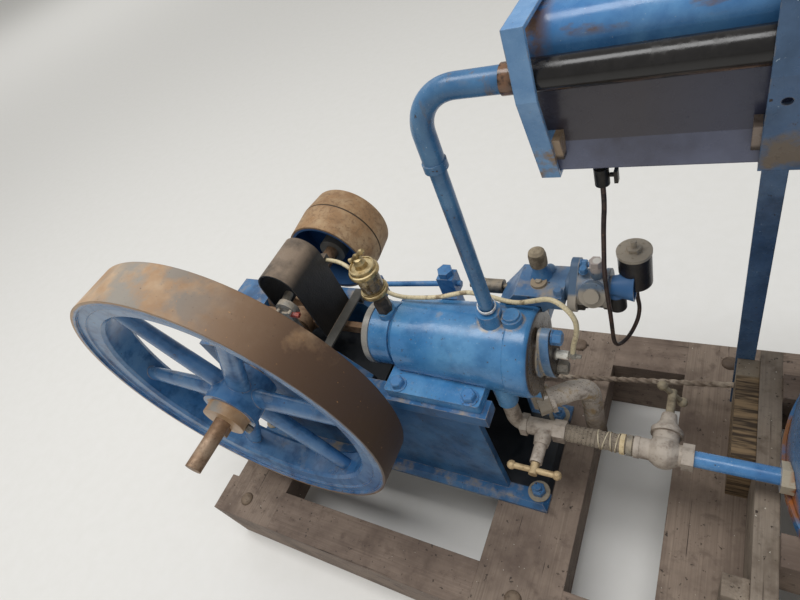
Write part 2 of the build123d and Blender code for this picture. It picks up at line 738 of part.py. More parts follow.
bell -= along_x(bell_end - 12, bell_end + 1, mixer_y, bell_z, bell_radius * 0.7, bell_radius * 0.86)
save(mixer + bell, "fuel_mixer")
air_cup = upright(air_cup_x, air_cup_y, axis + air_cup_low + 14, axis + air_cup_lid, air_cup_radius)
air_cup += upright(air_cup_x, air_cup_y, axis + air_cup_low, axis + air_cup_low + 14,
                   air_cup_radius * 0.45, air_cup_radius)
air_cup -= mixer + bell
air_cup -= along_x(bell_start, bell_end, mixer_y, bell_z, bell_radius - 2)
lid = upright(air_cup_x, air_cup_y, axis + air_cup_lid, axis + air_cup_lid + 5, air_cup_radius + 1)
lid += hex_up(air_cup_x, air_cup_y, axis + air_cup_lid + 5, 10, 6)
lid += upright(air_cup_x, air_cup_y, axis + air_cup_lid + 11, axis + air_cup_lid + 22, 4)
save(air_cup + lid, "air_cup")

# Water outlet: riser pipe, its joint and the long tube to the cooling tank


def pipe(points, radius, bend):
    path = FilletPolyline(*points, radius=bend)
    return sweep((path ^ 0) * Circle(radius), path=path)


riser_low = barrel_top + outlet_boss_height
tube_z = axis + tube_height
joint_z = axis + riser_joint
riser = pipe([(outlet_x, 0, joint_z), (outlet_x, 0, tube_z), (tube_start, 0, tube_z)],
             bend_pipe_radius, riser_bend)
riser += upright(outlet_x, 0, joint_z, joint_z + riser_joint_height, bend_pipe_radius + 1.5)
riser += upright(outlet_x, 0, riser_low, joint_z, pipe_radius)
save(riser, "water_riser")
tank_low = axis + tank_bottom
tank_top = tank_low + tank_height
tube = pipe([(tube_start, 0, tube_z), (tank_x, 0, tube_z), (tank_x, 0, tank_top + 4)], tube_radius, 60)
save(tube, "return_tube")

# Water inlet: elbow, union, tee with its drain tap, hose, valve and blue pipe
line_z = axis + water_z
elbow = pipe([(inlet_x, water_y, inlet_low), (inlet_x, water_y, line_z),
              (tee_x - 20, water_y, line_z)], elbow_radius, 24)
elbow += hex_x(union_x, water_y, line_z, tee_radius + 4, 12)
tee = along_x(union_x + 12, tee_x + 15, water_y, line_z, tee_radius)
tee += hex_x(tee_x + 15, water_y, line_z, tee_radius + 4, hose_start - tee_x - 15)
tee += along_y(tee_x, water_y - 18, water_y, line_z, tee_radius - 1)
tee += along_y(tee_x, water_y - 32, water_y - 18, line_z, tee_radius - 3, tee_radius - 1)
tee += along_y(tee_x, tap_handle_y + 12, water_y - 32, line_z, tee_radius - 5)
save(elbow + tee, "inlet_fittings")


def grip(half, bar, ball):
    reach = math.sqrt(ball ** 2 - bar ** 2)
    outline = [Line((0, half + ball), (0, -half - ball)),
               ThreePointArc((0, -half - ball), (ball, -half), (bar, -half + reach)),
               Line((bar, -half + reach), (bar, half - reach)),
               ThreePointArc((bar, half - reach), (ball, half), (0, half + ball))]
    face = Plane.XZ * make_face(outline)
    return revolve(face, Axis.Z)


tap = Pos(tee_x, tap_handle_y, line_z) * Rot(0, 90, 0) * grip(handle_half_length, handle_radius,
                                                              handle_radius * 1.5)
tap += along_y(tee_x, tap_handle_y - 8, tap_handle_y + 11.5, line_z, 7)
save(tap, "drain_tap_handle")
hose = along_x(hose_start, hose_end, water_y, line_z, hose_radius)
save(hose, "wrapped_hose")
bonnet = water_y + valve_body_radius
body_line = [(0, hose_end), (hose_radius + 2, hose_end), (hose_radius + 2, valve_x - 34),
             (hose_radius + 1, valve_x - 34), (hose_radius + 1, valve_x - 20)]
for number in range(1, 8):
    angle = math.radians(106 * number / 8 - 53)
    body_line.append((valve_body_radius * math.cos(angle), valve_x + valve_body_radius * math.sin(angle)))
body_line += [(hose_radius + 1, valve_x + 20), (hose_radius + 1, valve_x + 24), (0, valve_x + 24)]
body_face = make_face(Polyline(*[(b, water_y + a, line_z) for a, b in body_line], close=True))
valve = revolve(body_face, Axis((0, water_y, line_z), (1, 0, 0)))
valve += hex_x(valve_x + 24, water_y, line_z, hose_radius + 5, 16)
valve += along_y(valve_x, water_y, bonnet + 6, line_z, 19)
bonnet_line = [(0, 0), (23, 4), (23, 12), (20, 13), (14, 24), (13, 25), (11, 40), (0, 40)]
bonnet_face = make_face(Polyline(*[(valve_x + a, bonnet + b, line_z) for a, b in bonnet_line], close=True))
valve += revolve(bonnet_face, Axis((valve_x, 0, line_z), (0, 1, 0)))
save(valve, "globe_valve")
stem_low = bonnet + 40.5
handle_bar = Pos(valve_x, valve_handle_y, line_z) * Rot(0, 90 + valve_handle_turn, 0) \
    * grip(valve_handle_half, handle_radius - 0.5, handle_radius * 1.6)
handle = along_y(valve_x, stem_low, valve_handle_y + 6, line_z, 6.5)
save(handle + handle_bar, "valve_handle")
tank_face = tank_x - math.sqrt(tank_radius ** 2 - water_y ** 2)
blue_pipe = along_x(valve_x + 40, tank_face + 3, water_y, line_z, blue_pipe_radius)

# Cooling tank: shell, hoop, bottom, lid and the fitting of the blue pipe
drum = upright(tank_x, 0, tank_low + tank_wall, tank_top, tank_radius)
drum -= upright(tank_x, 0, tank_low, tank_top + 1, tank_radius - tank_wall)
save(drum, "tank_shell")
save(upright(tank_x, 0, tank_top, tank_top + 4, tank_radius + 4), "tank_lid")
bottom = upright(tank_x, 0, tank_low, tank_low + tank_hoop_height, tank_radius + tank_hoop)
bottom -= upright(tank_x, 0, tank_low + tank_wall, tank_low + 2 * tank_hoop_height, tank_radius + small_gap)
save(bottom, "tank_bottom")
fitting = hex_x(tank_face - 13, water_y, line_z, 22, 20)
fitting += blue_pipe
fitting -= upright(tank_x, 0, tank_low, tank_top, tank_radius + small_gap)
save(fitting, "blue_pipe")

# Fuel tank: rounded shell with flanged ends
fuel_end = 2 * post_x - fuel_start
fuel_section = [(fuel_front - fuel_flare, fuel_bottom), (fuel_back, fuel_bottom), (fuel_back, fuel_top),
                (fuel_front, fuel_top),
                (fuel_front, fuel_crease)]


def tank_section(x0, x1, inset):
    outline = make_face(Polyline(*fuel_section, close=True))
    outline = fillet(outline.vertices().group_by(Axis.Y)[-1], fuel_corner)
    outline = fillet(outline.vertices().group_by(Axis.Y)[0], fuel_low_corner)
    if inset != 0:
        outline = offset(outline, -inset)
    place = Plane((x0, 0, axis), x_dir=(0, 1, 0), z_dir=(1, 0, 0))
    return extrude(place * outline, x1 - x0)


fuel_shell = tank_section(fuel_start + fuel_wall, fuel_end - fuel_wall, 0)
fuel_shell -= tank_section(fuel_start, fuel_end, fuel_wall)
save(fuel_shell, "fuel_tank_shell")
save(tank_section(fuel_start, fuel_start + fuel_wall, 0), "fuel_tank_left_end")
save(tank_section(fuel_end - fuel_wall, fuel_end, 0), "fuel_tank_right_end")

# Post and the three straps around the fuel tank and the long tube
strap_inner = [(strap_front, strap_front_low), (fuel_front - fuel_flare - 1, fuel_bottom - small_gap),
               (fuel_back + small_gap, fuel_bottom - small_gap),
               (fuel_back + small_gap, fuel_top + small_gap),
               (strap_front, strap_front_top)]


def strap(x0, x1):
    inner = make_face(Polyline(*strap_inner, close=True))
    outer = offset(inner, strap_thickness, kind=Kind.INTERSECTION)
    place = Plane((x0, 0, axis), x_dir=(0, 1, 0), z_dir=(1, 0, 0))
    return extrude(place * (outer - inner), x1 - x0)


wide_start = post_x - wide_strap_width / 2
wide_strap = strap(wide_start, wide_start + wide_strap_width)
wide_strap -= along_y(strap_hole_x, -30, 10, axis + strap_hole_rise, strap_hole_radius)
band_start_x = fuel_start - 3
band_end_x = 2 * post_x - band_start_x
post_back = fuel_back + small_gap + strap_thickness
post_top = axis + fuel_top + strap_thickness
post = block(post_x - post_width / 2, post_x + post_width / 2, post_back, post_back + post_thickness,
             timber_top, post_top)

slant = (fuel_front - fuel_flare - 1 - strap_front) / (strap_front_low - fuel_bottom + small_gap)


def spacer(x0, x1):
    low_y = strap_front + (strap_front_low - spacer_low) * slant
    high_y = strap_front + (strap_front_low - spacer_high) * slant
    points = [(low_y, spacer_low), (fuel_front + 10, spacer_low), (fuel_front + 10, spacer_high),
              (high_y, spacer_high)]
    face = make_face(Polyline(*points, close=True))
    place = Plane((x0, 0, axis), x_dir=(0, 1, 0), z_dir=(1, 0, 0))
    return extrude(place * face, x1 - x0) - tank_section(x0 - 1, x1 + 1, -small_gap)


save(strap(band_start_x, band_start_x + band_width) + spacer(band_start_x, band_start_x + 28), "left_band")
save(strap(band_end_x - band_width, band_end_x) + spacer(band_end_x - 28, band_end_x), "right_band")
wide_strap += spacer(wide_start - 7, wide_start + wide_strap_width)
save(post + wide_strap, "tank_post")

# Fuel tap below the tank
fuel_low = axis + fuel_bottom
fuel_tap = upright(tap_x, tap_y, fuel_low - 26, fuel_low, 5)
fuel_tap += upright(tap_x, tap_y, fuel_low - 38, fuel_low - 16, 8)
save(fuel_tap, "fuel_tap")
lever = along_x(tap_x + 8.3, tap_x + 14, tap_y, fuel_low - 26, 2.5)
lever += block(tap_x + 13, tap_x + 17, tap_y - 4, tap_y + 4, fuel_low - 35, fuel_low - 20)
save(lever, "fuel_tap_lever")

# Exhaust elbow and stub below the head
exhaust = pipe([(ex, ey, axis + ez), (drop_x, drop_y, axis + ez), (drop_x, drop_y, axis + exhaust_low)],
               exhaust_radius, exhaust_bend)
exhaust += Plane(flange_back, z_dir=heading) * Pos(0, 0, flange_thickness / 2) \
    * Cylinder(exhaust_radius + 7, flange_thickness)
save(exhaust, "exhaust_pipe")

# Tie rod from the second cross timber to the sawn block
rod_left = Vector(395, 177, timber_top + 6.5)
rod_right = Vector(block_left, 169, axis - 276)
tie = Plane(rod_left, z_dir=rod_right - rod_left) * Pos(0, 0, (rod_right - rod_left).length / 2) \
    * Cylinder(5.5, (rod_right - rod_left).length)
tie -= block(block_left, block_left + 20, 100, 200, axis - 300, axis - 250)
save(tie, "tie_rod")

# Cords: the ignition lead and the fuel hose


def cord(points, radius, name):
    corners = [Vector(*p) for p in points]
    radii = []
    for before, here, after in zip(corners, corners[1:], corners[2:]):
        turn = math.radians((here - before).get_angle(after - here))
        shorter = min((here - before).length, (after - here).length)
        radii.append(0.45 * shorter / math.tan(turn / 2))
    path = FilletPolyline(*corners, radius=radii)
    shape = sweep((path ^ 0) * Circle(radius), path=path)
    section = math.pi * radius ** 2 * path.length
    print(name, "smallest radius", round(min(radii), 1), "volume ratio", round(shape.volume / section, 4))
    return shape


lead = cord([(x, y, axis + z) for x, y, z in lead_points], lead_radius, "ignition_lead")
save(lead, "ignition_lead")
fuel_hose = cord([(x, y, axis + z) for x, y, z in fuel_points], fuel_hose_radius, "fuel_hose")
save(fuel_hose, "fuel_hose")
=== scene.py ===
"""A small horizontal stationary engine on its timber skid, dressed for its picture."""
import math
import random

import bmesh
import bpy
from mathutils import Matrix, Vector


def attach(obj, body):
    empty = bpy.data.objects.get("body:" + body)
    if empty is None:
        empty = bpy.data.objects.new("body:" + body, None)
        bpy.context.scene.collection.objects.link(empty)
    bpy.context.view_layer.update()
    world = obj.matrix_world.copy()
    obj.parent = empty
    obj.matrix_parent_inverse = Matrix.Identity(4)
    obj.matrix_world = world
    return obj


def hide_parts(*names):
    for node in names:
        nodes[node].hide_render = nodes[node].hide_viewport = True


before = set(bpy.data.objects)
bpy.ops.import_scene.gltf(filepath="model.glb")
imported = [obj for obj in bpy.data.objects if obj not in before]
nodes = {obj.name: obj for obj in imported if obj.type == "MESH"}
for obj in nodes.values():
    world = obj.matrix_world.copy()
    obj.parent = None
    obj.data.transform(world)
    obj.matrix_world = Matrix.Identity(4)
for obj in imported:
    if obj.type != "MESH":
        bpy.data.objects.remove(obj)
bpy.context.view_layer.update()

# The middle of the crankshaft in the frame, in metres
crank = {"X": -0.622, "Y": 0.004, "Z": 0.516}


def at(x, y, z):
    """A place given in millimetres from the middle of the crank, in metres in the frame."""
    return Vector([crank[axis] + value / 1000 for axis, value in zip("XYZ", (x, y, z))])


# Camera
def set_camera():
    """The camera stands where the photo was taken from, as fitted to the engine's lines."""
    right = Vector((0.8563, 0.3877, -0.3413))
    up = Vector((-0.0835, 0.7560, 0.6492))
    back = right.cross(up)
    data = bpy.data.cameras.new("camera")
    data.sensor_width = 36.0
    data.sensor_fit = "HORIZONTAL"
    data.lens = 24.40
    data.clip_start = 0.01
    data.clip_end = 200.0
    camera = bpy.data.objects.new("camera", data)
    turn = Matrix((right, up, back)).transposed().to_4x4()
    camera.matrix_world = Matrix.Translation(at(738.4, -458.1, 685.0)) @ turn
    bpy.context.scene.collection.objects.link(camera)
    bpy.context.scene.camera = camera


# Materials
def linear(code):
    """An sRGB hex colour as linear red, green, blue and alpha."""
    parts = [int(code[i:i + 2], 16) / 255 for i in (1, 3, 5)]
    curve = [p / 12.92 if p <= 0.04045 else ((p + 0.055) / 1.055) ** 2.4 for p in parts]
    return (*curve, 1.0)


def new_material(name):
    """A material with no nodes in it yet."""
    material = bpy.data.materials.new(name)
    material.use_nodes = True
    material.node_tree.nodes.clear()
    return material


def add(material, kind, settings=None, sockets=None):
    """Adds one node, with its own settings and with values or links for its sockets."""
    tree = material.node_tree
    node = tree.nodes.new(kind)
    for name, value in (settings or {}).items():
        setattr(node, name, value)
    for name, value in (sockets or {}).items():
        if isinstance(value, bpy.types.NodeSocket):
            tree.links.new(value, node.inputs[name])
        else:
            node.inputs[name].default_value = value
    return node


def own_place(material):
    """Where a point is on the object, in metres in the frame, so that it moves with it."""
    return add(material, "ShaderNodeTexCoord").outputs["Object"]


def patches(material, where, size_mm, limit, soft=0.05, detail=5.0, along=(1, 1, 1)):
    """Patches of about this size: a limit of 0.5 covers half, 0.6 a fifth, 0.7 a few spots.
    They lie longer on an axis whose factor in along is below 1."""
    stretched = add(material, "ShaderNodeMapping", {}, {"Vector": where, "Scale": along})
    noise = add(material, "ShaderNodeTexNoise", {}, {
        "Vector": stretched.outputs["Vector"], "Scale": 1000 / size_mm,
        "Detail": detail, "Roughness": 0.6})
    return add(material, "ShaderNodeMapRange", {}, {
        "Value": noise.outputs["Fac"],
        "From Min": limit - soft, "From Max": limit + soft}).outputs["Result"]


def overlap(material, first, *others):
    """Only where all of these masks meet."""
    for other in others:
        first = add(material, "ShaderNodeMath", {"operation": "MULTIPLY"},
                    {0: first, 1: other}).outputs["Value"]
    return first


def facing(material, direction, low, high):
    """Faces that look this way, such as the tops that catch dust."""
    normal = add(material, "ShaderNodeNewGeometry").outputs["Normal"]
    dot = add(material, "ShaderNodeVectorMath", {"operation": "DOT_PRODUCT"},
              {0: normal, 1: direction})
    return add(material, "ShaderNodeMapRange", {}, {
        "Value": dot.outputs["Value"], "From Min": low, "From Max": high}).outputs["Result"]


def past(material, where, axis, start_mm, end_mm):
    """From 0 at the start to 1 at the end, along an axis, measured from the crank."""
    parts = add(material, "ShaderNodeSeparateXYZ", {}, {"Vector": where})
    return add(material, "ShaderNodeMapRange", {}, {
        "Value": parts.outputs[axis], "From Min": crank[axis] + start_mm / 1000,
        "From Max": crank[axis] + end_mm / 1000}).outputs["Result"]


def distance(material, where, place, across):
    """How far a point is from a place, in metres, counted only across these axes."""
    gap = add(material, "ShaderNodeVectorMath", {"operation": "SUBTRACT"},
              {0: where, 1: place})
    flat = add(material, "ShaderNodeVectorMath", {"operation": "MULTIPLY"},
               {0: gap.outputs["Vector"], 1: across})
    return add(material, "ShaderNodeVectorMath", {"operation": "LENGTH"},
               {0: flat.outputs["Vector"]}).outputs["Value"]


def near(material, where, place, inner_mm, outer_mm, across=(1, 1, 1)):
    """1 within the inner distance of a place, fading to 0 at the outer one. With the larger
    distance given first it is the other way round."""
    return add(material, "ShaderNodeMapRange", {}, {
        "Value": distance(material, where, place, across), "From Min": outer_mm / 1000,
        "From Max": inner_mm / 1000}).outputs["Result"]


def worn_edges(material, width_mm):
    """The sharp edges, where paint rubs off first."""
    # Cosines of the angle between the true surface and a rounded one, where wear shows
    slight, full = 0.97, 0.8
    round_normal = add(material, "ShaderNodeBevel", {"samples": 6},
                       {"Radius": width_mm / 1000}).outputs["Normal"]
    normal = add(material, "ShaderNodeNewGeometry").outputs["Normal"]
    dot = add(material, "ShaderNodeVectorMath", {"operation": "DOT_PRODUCT"},
              {0: round_normal, 1: normal})
    return add(material, "ShaderNodeMapRange", {}, {
        "Value": dot.outputs["Value"], "From Min": slight, "From Max": full}).outputs["Result"]


def layered(material, base, layers):
    """Lays each colour or roughness over the last one, as far as its mask says. The sockets
    of a Mix node share their names, so they are told apart by number."""
    colours = not isinstance(base, float)
    kind, below, above, result = ("RGBA", 6, 7, 2) if colours else ("FLOAT", 2, 3, 0)
    for over, mask in layers:
        base = add(material, "ShaderNodeMix", {"data_type": kind},
                   {0: mask, below: base, above: over}).outputs[result]
    return base


def marked(material, where, colour, marks):
    """Lays a piece's own marks over its finish. Each is a colour and a function that makes
    its mask from the material, m, and from where a point is, w."""
    for over, mask in marks:
        colour = layered(material, colour, [(linear(over), mask(material, where))])
    return colour


def surface(material, colour, roughness, relief, relief_mm, edge_mm=0.0, **shader):
    """Ends a material: its colour, gloss and relief, and soft light on its edges."""
    links = {"Height": relief, "Distance": relief_mm / 1000, "Strength": 1.0}
    if edge_mm:
        links["Normal"] = add(material, "ShaderNodeBevel", {"samples": 4},
                              {"Radius": edge_mm / 1000}).outputs["Normal"]
    bump = add(material, "ShaderNodeBump", {}, links)
    sockets = {"Base Color": colour, "Roughness": roughness, "Normal": bump.outputs["Normal"]}
    sockets.update({name.replace("_", " "): value for name, value in shader.items()})
    principled = add(material, "ShaderNodeBsdfPrincipled", {}, sockets)
    add(material, "ShaderNodeOutputMaterial", {}, {"Surface": principled.outputs["BSDF"]})
    return material


def enamel(name, main, faded, deep, dust=0.66, chips=0.7, rust=0.78, gloss=0.24,
           edge_wear=0.56, marks=()):
    """Brushed gloss enamel on cast iron: a shiny blue skin with uneven tone, a bloom of
    workshop dust on its tops, and chips that show brown primer and rust. The larger the
    limit given for dust, chips, rust or edge_wear, the less of it shows."""
    material = new_material(name)
    where = own_place(material)
    top = facing(material, (0, 0, 1), 0.3, 0.95)
    settled = overlap(material, top, patches(material, where, 40, dust, 0.12))
    chipped = patches(material, where, 6, chips, 0.015, 3.0)
    rubbed = overlap(material, worn_edges(material, 2.0),
                     patches(material, where, 14, edge_wear, 0.06))
    rusty = patches(material, where, 60, rust, 0.03)
    brushed = patches(material, where, 5, 0.5, 0.25, 3.0, (1, 1, 0.12))
    colour = layered(material, linear(main), [
        (linear(faded), patches(material, where, 110, 0.53, 0.14)),
        (linear(deep), patches(material, where, 50, 0.57, 0.12)),
        (linear("#9d8f7b"), settled),
        (linear("#7c4a2e"), rusty),
        # Tiny pale blue-white specks: painted glints of light on the gloss
        (linear("#a9bccb"), patches(material, where, 3.5, 0.735, 0.015, 2.0)),
        (linear("#40332a"), chipped),
        (linear("#a29482"), rubbed)])
    colour = marked(material, where, colour, marks)
    rough = layered(material, gloss, [
        (0.7, settled), (0.8, rusty), (0.7, chipped), (0.55, rubbed),
        (gloss + 0.14, patches(material, where, 22, 0.55, 0.1))])
    relief = layered(material, 0.6, [(0.75, brushed), (0.0, chipped)])
    return surface(material, colour, rough, relief, 0.3, 1.6)


def rusted_iron(name, main, dark, pale, metallic=0.2, shine=0.55, marks=()):
    """Bare cast iron under a thin even coat of rust: matt tan-brown with darker clouds
    and a bloom of pale dust."""
    material = new_material(name)
    where = own_place(material)
    pits = patches(material, where, 3, 0.7, 0.02, 2.0)
    colour = layered(material, linear(main), [
        (linear(dark), patches(material, where, 90, 0.55, 0.16)),
        (linear(pale), patches(material, where, 50, 0.56, 0.14)),
        (linear(dark), patches(material, where, 9, 0.6, 0.1)),
        (linear("#4a382b"), pits)])
    colour = marked(material, where, colour, marks)
    rough = layered(material, shine, [(0.75, patches(material, where, 22, 0.5, 0.15))])
    relief = layered(material, 0.7, [(0.2, pits), (0.9, patches(material, where, 6, 0.5, 0.3))])
    return surface(material, colour, rough, relief, 0.25, 1.2, Metallic=metallic)


def timber(name, along, main, pale, dark, marks=()):
    """Rough-sawn hardwood, long weathered: grey-brown, dry and matt, with open grain,
    fine checks along it, oil stains and splashes of pale paint."""
    material = new_material(name)
    where = own_place(material)
    # Grain lines are 3 mm apart, drawn coarser than the real 1 mm so that they show
    grain = patches(material, where, 3, 0.5, 0.2, 4.0, along)
    checks = patches(material, where, 6, 0.69, 0.015, 3.0, along)
    saw = patches(material, where, 30, 0.5, 0.2, 4.0, along)
    dents = patches(material, where, 9, 0.68, 0.03, 3.0)
    colour = layered(material, linear(main), [
        (linear(pale), patches(material, where, 260, 0.5, 0.16)),
        (linear(pale), saw),
        (linear(dark), patches(material, where, 110, 0.57, 0.14)),
        (linear(dark), overlap(material, grain, saw)),
        (linear(dark), patches(material, where, 24, 0.63, 0.1)),
        (linear("#2c231c"), checks),
        (linear("#3a3028"), dents),
        (linear("#c9c3b5"), patches(material, where, 6, 0.745, 0.01, 2.0))])
    colour = marked(material, where, colour, marks)
    relief = layered(material, 0.7, [(0.95, grain), (0.0, checks), (0.2, dents)])
    return surface(material, colour, 0.8, relief, 0.7, 2.5)


def dusty_metal(name, main, dark, pale, metallic, rough, relief_mm=0.3, marks=(), dust=0.46):
    """Cast or drawn metal left bare in a workshop: dull, with grime in the low places
    and pale dust on the tops."""
    material = new_material(name)
    where = own_place(material)
    settled = overlap(material, facing(material, (0, 0, 1), 0.1, 0.9),
                      patches(material, where, 14, dust, 0.12))
    colour = layered(material, linear(main), [
        (linear(dark), patches(material, where, 18, 0.55, 0.08)),
        (linear(dark), patches(material, where, 4, 0.62, 0.05, 3.0)),
        (linear(pale), settled)])
    colour = marked(material, where, colour, marks)
    roughness = layered(material, rough, [(min(rough + 0.3, 0.9), settled)])
    relief = patches(material, where, 3, 0.5, 0.3)
    return surface(material, colour, roughness, relief, relief_mm, 0.8, Metallic=metallic)


def wheel_finish():
    """Flywheel casting: blue gloss enamel inside, the tread and face of the rim rubbed down to
    tan rust by hands and belts, orange where it is fresh, with a painted grey sheen on its top,
    and darker towards one side, partly oil and partly painted shade."""
    # Distances from the shaft's axis, in metres, over which the paint gives way to rust, and
    # how far that line wanders
    tread_start, tread_end = 0.300, 0.304
    boss_end, boss_start = 0.048, 0.044
    wander = 0.004
    material = new_material("worn_enamel_on_grey_iron")
    where = own_place(material)
    radius = distance(material, where, at(0, 0, 0), (1, 0, 1))
    ragged = patches(material, where, 25, 0.5, 0.3)
    shifted = add(material, "ShaderNodeMath", {"operation": "MULTIPLY_ADD"},
                  {0: ragged, 1: wander, 2: radius}).outputs["Value"]
    tread = add(material, "ShaderNodeMapRange", {}, {
        "Value": shifted, "From Min": tread_start, "From Max": tread_end}).outputs["Result"]
    boss = add(material, "ShaderNodeMapRange", {}, {
        "Value": shifted, "From Min": boss_end, "From Max": boss_start}).outputs["Result"]
    rubbed = overlap(material, worn_edges(material, 3.0),
                     patches(material, where, 30, 0.5, 0.08))
    dusty = overlap(material, facing(material, (0, 0, 1), 0.4, 1.0),
                    patches(material, where, 50, 0.68, 0.12))
    # Darker towards the +X side of the rim: oil in patches, and partly painted shade
    oily_and_shaded_side = past(material, where, "X", 20, 240)
    rust = layered(material, linear("#a58360"), [
        (linear("#bb9f80"), patches(material, where, 90, 0.52, 0.07, 7.0)),
        # Grey on the tread's top: a painted sheen of the overhead light
        (linear("#8d867c"), overlap(material, facing(material, (0.15, 0, 1), 0.9, 0.99),
                                    patches(material, where, 60, 0.47, 0.07, 7.0))),
        (linear("#5f4734"), overlap(material, oily_and_shaded_side,
                                    patches(material, where, 120, 0.35, 0.06, 7.0))),
        # Darkest at the far +X side of the rim: painted shade
        (linear("#4c3a2c"), past(material, where, "X", 210, 310)),
        (linear("#a97c4c"), patches(material, where, 6, 0.72, 0.02, 3.0)),
        (linear("#4a3729"), patches(material, where, 4, 0.72, 0.02, 2.0))])
    colour = layered(material, linear("#3c6d9f"), [
        (linear("#5f86ac"), patches(material, where, 90, 0.53, 0.14)),
        (linear("#2b547f"), patches(material, where, 35, 0.57, 0.1)),
        (linear("#7f8286"), dusty),
        (linear("#4a382c"), patches(material, where, 7, 0.71, 0.02, 3.0)),
        (rust, rubbed), (rust, tread), (rust, boss)])
    rough = layered(material, 0.24, [
        (0.6, dusty), (0.5, rubbed), (0.46, tread), (0.42, boss)])
    relief = layered(material, 0.6, [
        (0.4, patches(material, where, 5, 0.66, 0.04, 3.0)),
        (1.0, patches(material, where, 14, 0.5, 0.3))])
    return surface(material, colour, rough, relief, 0.35, 2.0)


def porcelain():
    """Glazed white porcelain of the spark plug, with steel at both its ends."""
    material = new_material("glazed_porcelain_and_steel")
    where = own_place(material)
    steel_foot = past(material, where, "X", 533.5, 532.5)
    steel_tip = past(material, where, "X", 549.5, 550.5)
    grime = patches(material, where, 6, 0.6, 0.08)
    colour = layered(material, linear("#e9e5da"), [
        (linear("#a89f8e"), grime), (linear("#6f6a62"), steel_foot),
        (linear("#8f8a80"), steel_tip)])
    rough = layered(material, 0.25, [(0.6, grime), (0.5, steel_foot), (0.45, steel_tip)])
    return surface(material, colour, rough, grime, 0.1, 0.5)


def sight_glass():
    """Blown sight glass of the oiler, amber-grey with a film of oil inside."""
    material = new_material("oily_sight_glass")
    where = own_place(material)
    film = patches(material, where, 12, 0.5, 0.2)
    colour = layered(material, linear("#b9a67e"), [(linear("#6d5c42"), film)])
    rough = layered(material, 0.06, [(0.25, film)])
    return surface(material, colour, rough, film, 0.1, 0.0, Transmission_Weight=0.75, IOR=1.5)


def cotton_lead():
    """High-tension lead in woven cotton, cream and slightly shiny, soiled in places. Its
    weave is about 1.5 mm, drawn at 2.5 mm so that it shows."""
    material = new_material("cream_cotton_braid")
    where = own_place(material)
    weave = patches(material, where, 2.5, 0.5, 0.2, 2.0)
    soiled = patches(material, where, 18, 0.58, 0.05)
    colour = layered(material, linear("#ddd0ae"), [
        (linear("#c4b48e"), weave), (linear("#8d7c60"), soiled),
        (linear("#3f342a"), patches(material, where, 4, 0.70, 0.02, 2.0))])
    return surface(material, colour, 0.5, weave, 0.25)


def old_rubber():
    """Perished brown rubber fuel hose, satin, with a darker oily bloom."""
    material = new_material("perished_brown_rubber")
    where = own_place(material)
    bloom = patches(material, where, 15, 0.5, 0.1)
    colour = layered(material, linear("#3c2419"), [
        (linear("#1d130f"), bloom), (linear("#6a4a36"), patches(material, where, 5, 0.64, 0.05))])
    rough = layered(material, 0.35, [(0.6, bloom)])
    return surface(material, colour, rough, bloom, 0.1)


def hemp_twine():
    """Tarred hemp twine wound over rubber hose: matt grey-brown and hairy, with fibres
    about 1.6 mm long."""
    material = new_material("tarred_hemp_twine")
    where = own_place(material)
    fibres = patches(material, where, 1.6, 0.5, 0.2, 3.0, (1, 4, 4))
    colour = layered(material, linear("#847669"), [
        (linear("#594c42"), patches(material, where, 14, 0.52, 0.08)),
        (linear("#a39886"), fibres),
        (linear("#33291f"), patches(material, where, 3, 0.64, 0.04, 2.0))])
    return surface(material, colour, 0.9, fibres, 0.4)


def nylon_tie():
    """White nylon cable tie, smooth and slightly see-through, greyed by dust."""
    material = new_material("white_nylon")
    where = own_place(material)
    dust = patches(material, where, 5, 0.55, 0.1)
    colour = layered(material, linear("#dcdde0"), [(linear("#b5ab9b"), dust)])
    return surface(material, colour, 0.4, dust, 0.1, Subsurface_Weight=0.05)


def moulded_phenolic():
    """Moulded red phenolic of the timer's block: dull, mottled darker."""
    material = new_material("moulded_red_phenolic")
    where = own_place(material)
    dull = patches(material, where, 4, 0.5, 0.1)
    colour = layered(material, linear("#a3402f"), [(linear("#6e2b22"), dull)])
    return surface(material, colour, 0.45, dull, 0.1, 0.4)


def studio_paper():
    """Pale matt paper for the floor, with a faint fibre."""
    material = new_material("pale_studio_paper")
    where = own_place(material)
    fibre = patches(material, where, 40, 0.5, 0.3)
    colour = layered(material, linear("#e6e5e2"), [(linear("#e2e1dd"), fibre)])
    return surface(material, colour, 0.95, fibre, 0.05)


# Building pieces
def piece(name, mesh, material, body, covers=()):
    """A finished piece of the object, riding on its body."""
    made = bpy.data.objects.new(name, mesh)
    bpy.context.scene.collection.objects.link(made)
    mesh.materials.append(material)
    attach(made, body)
    if covers:
        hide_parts(*covers)


def ring(shape, radius_mm, height_mm, steps):
    """A level ring of points round the upright axis."""
    turns = [2 * math.pi * i / steps for i in range(steps)]
    return [shape.verts.new((radius_mm * math.cos(turn) / 1000,
                             radius_mm * math.sin(turn) / 1000, height_mm / 1000))
            for turn in turns]


def skin(shape, rings):
    """Joins rings of points, from the foot up, into one closed skin."""
    for low, high in zip(rings, rings[1:]):
        for i in range(len(low)):
            j = (i + 1) % len(low)
            shape.faces.new((low[i], low[j], high[j], high[i]))
    shape.faces.new(list(reversed(rings[0])))
    shape.faces.new(rings[-1])


def turned(profile, place, axis=(0, 0, 1), steps=48):
    """A mesh turned on a lathe: (radius, height) pairs in millimetres, from foot to tip."""
    shape = bmesh.new()
    skin(shape, [ring(shape, radius, height, steps) for radius, height in profile])
    return settle(shape, place, axis)


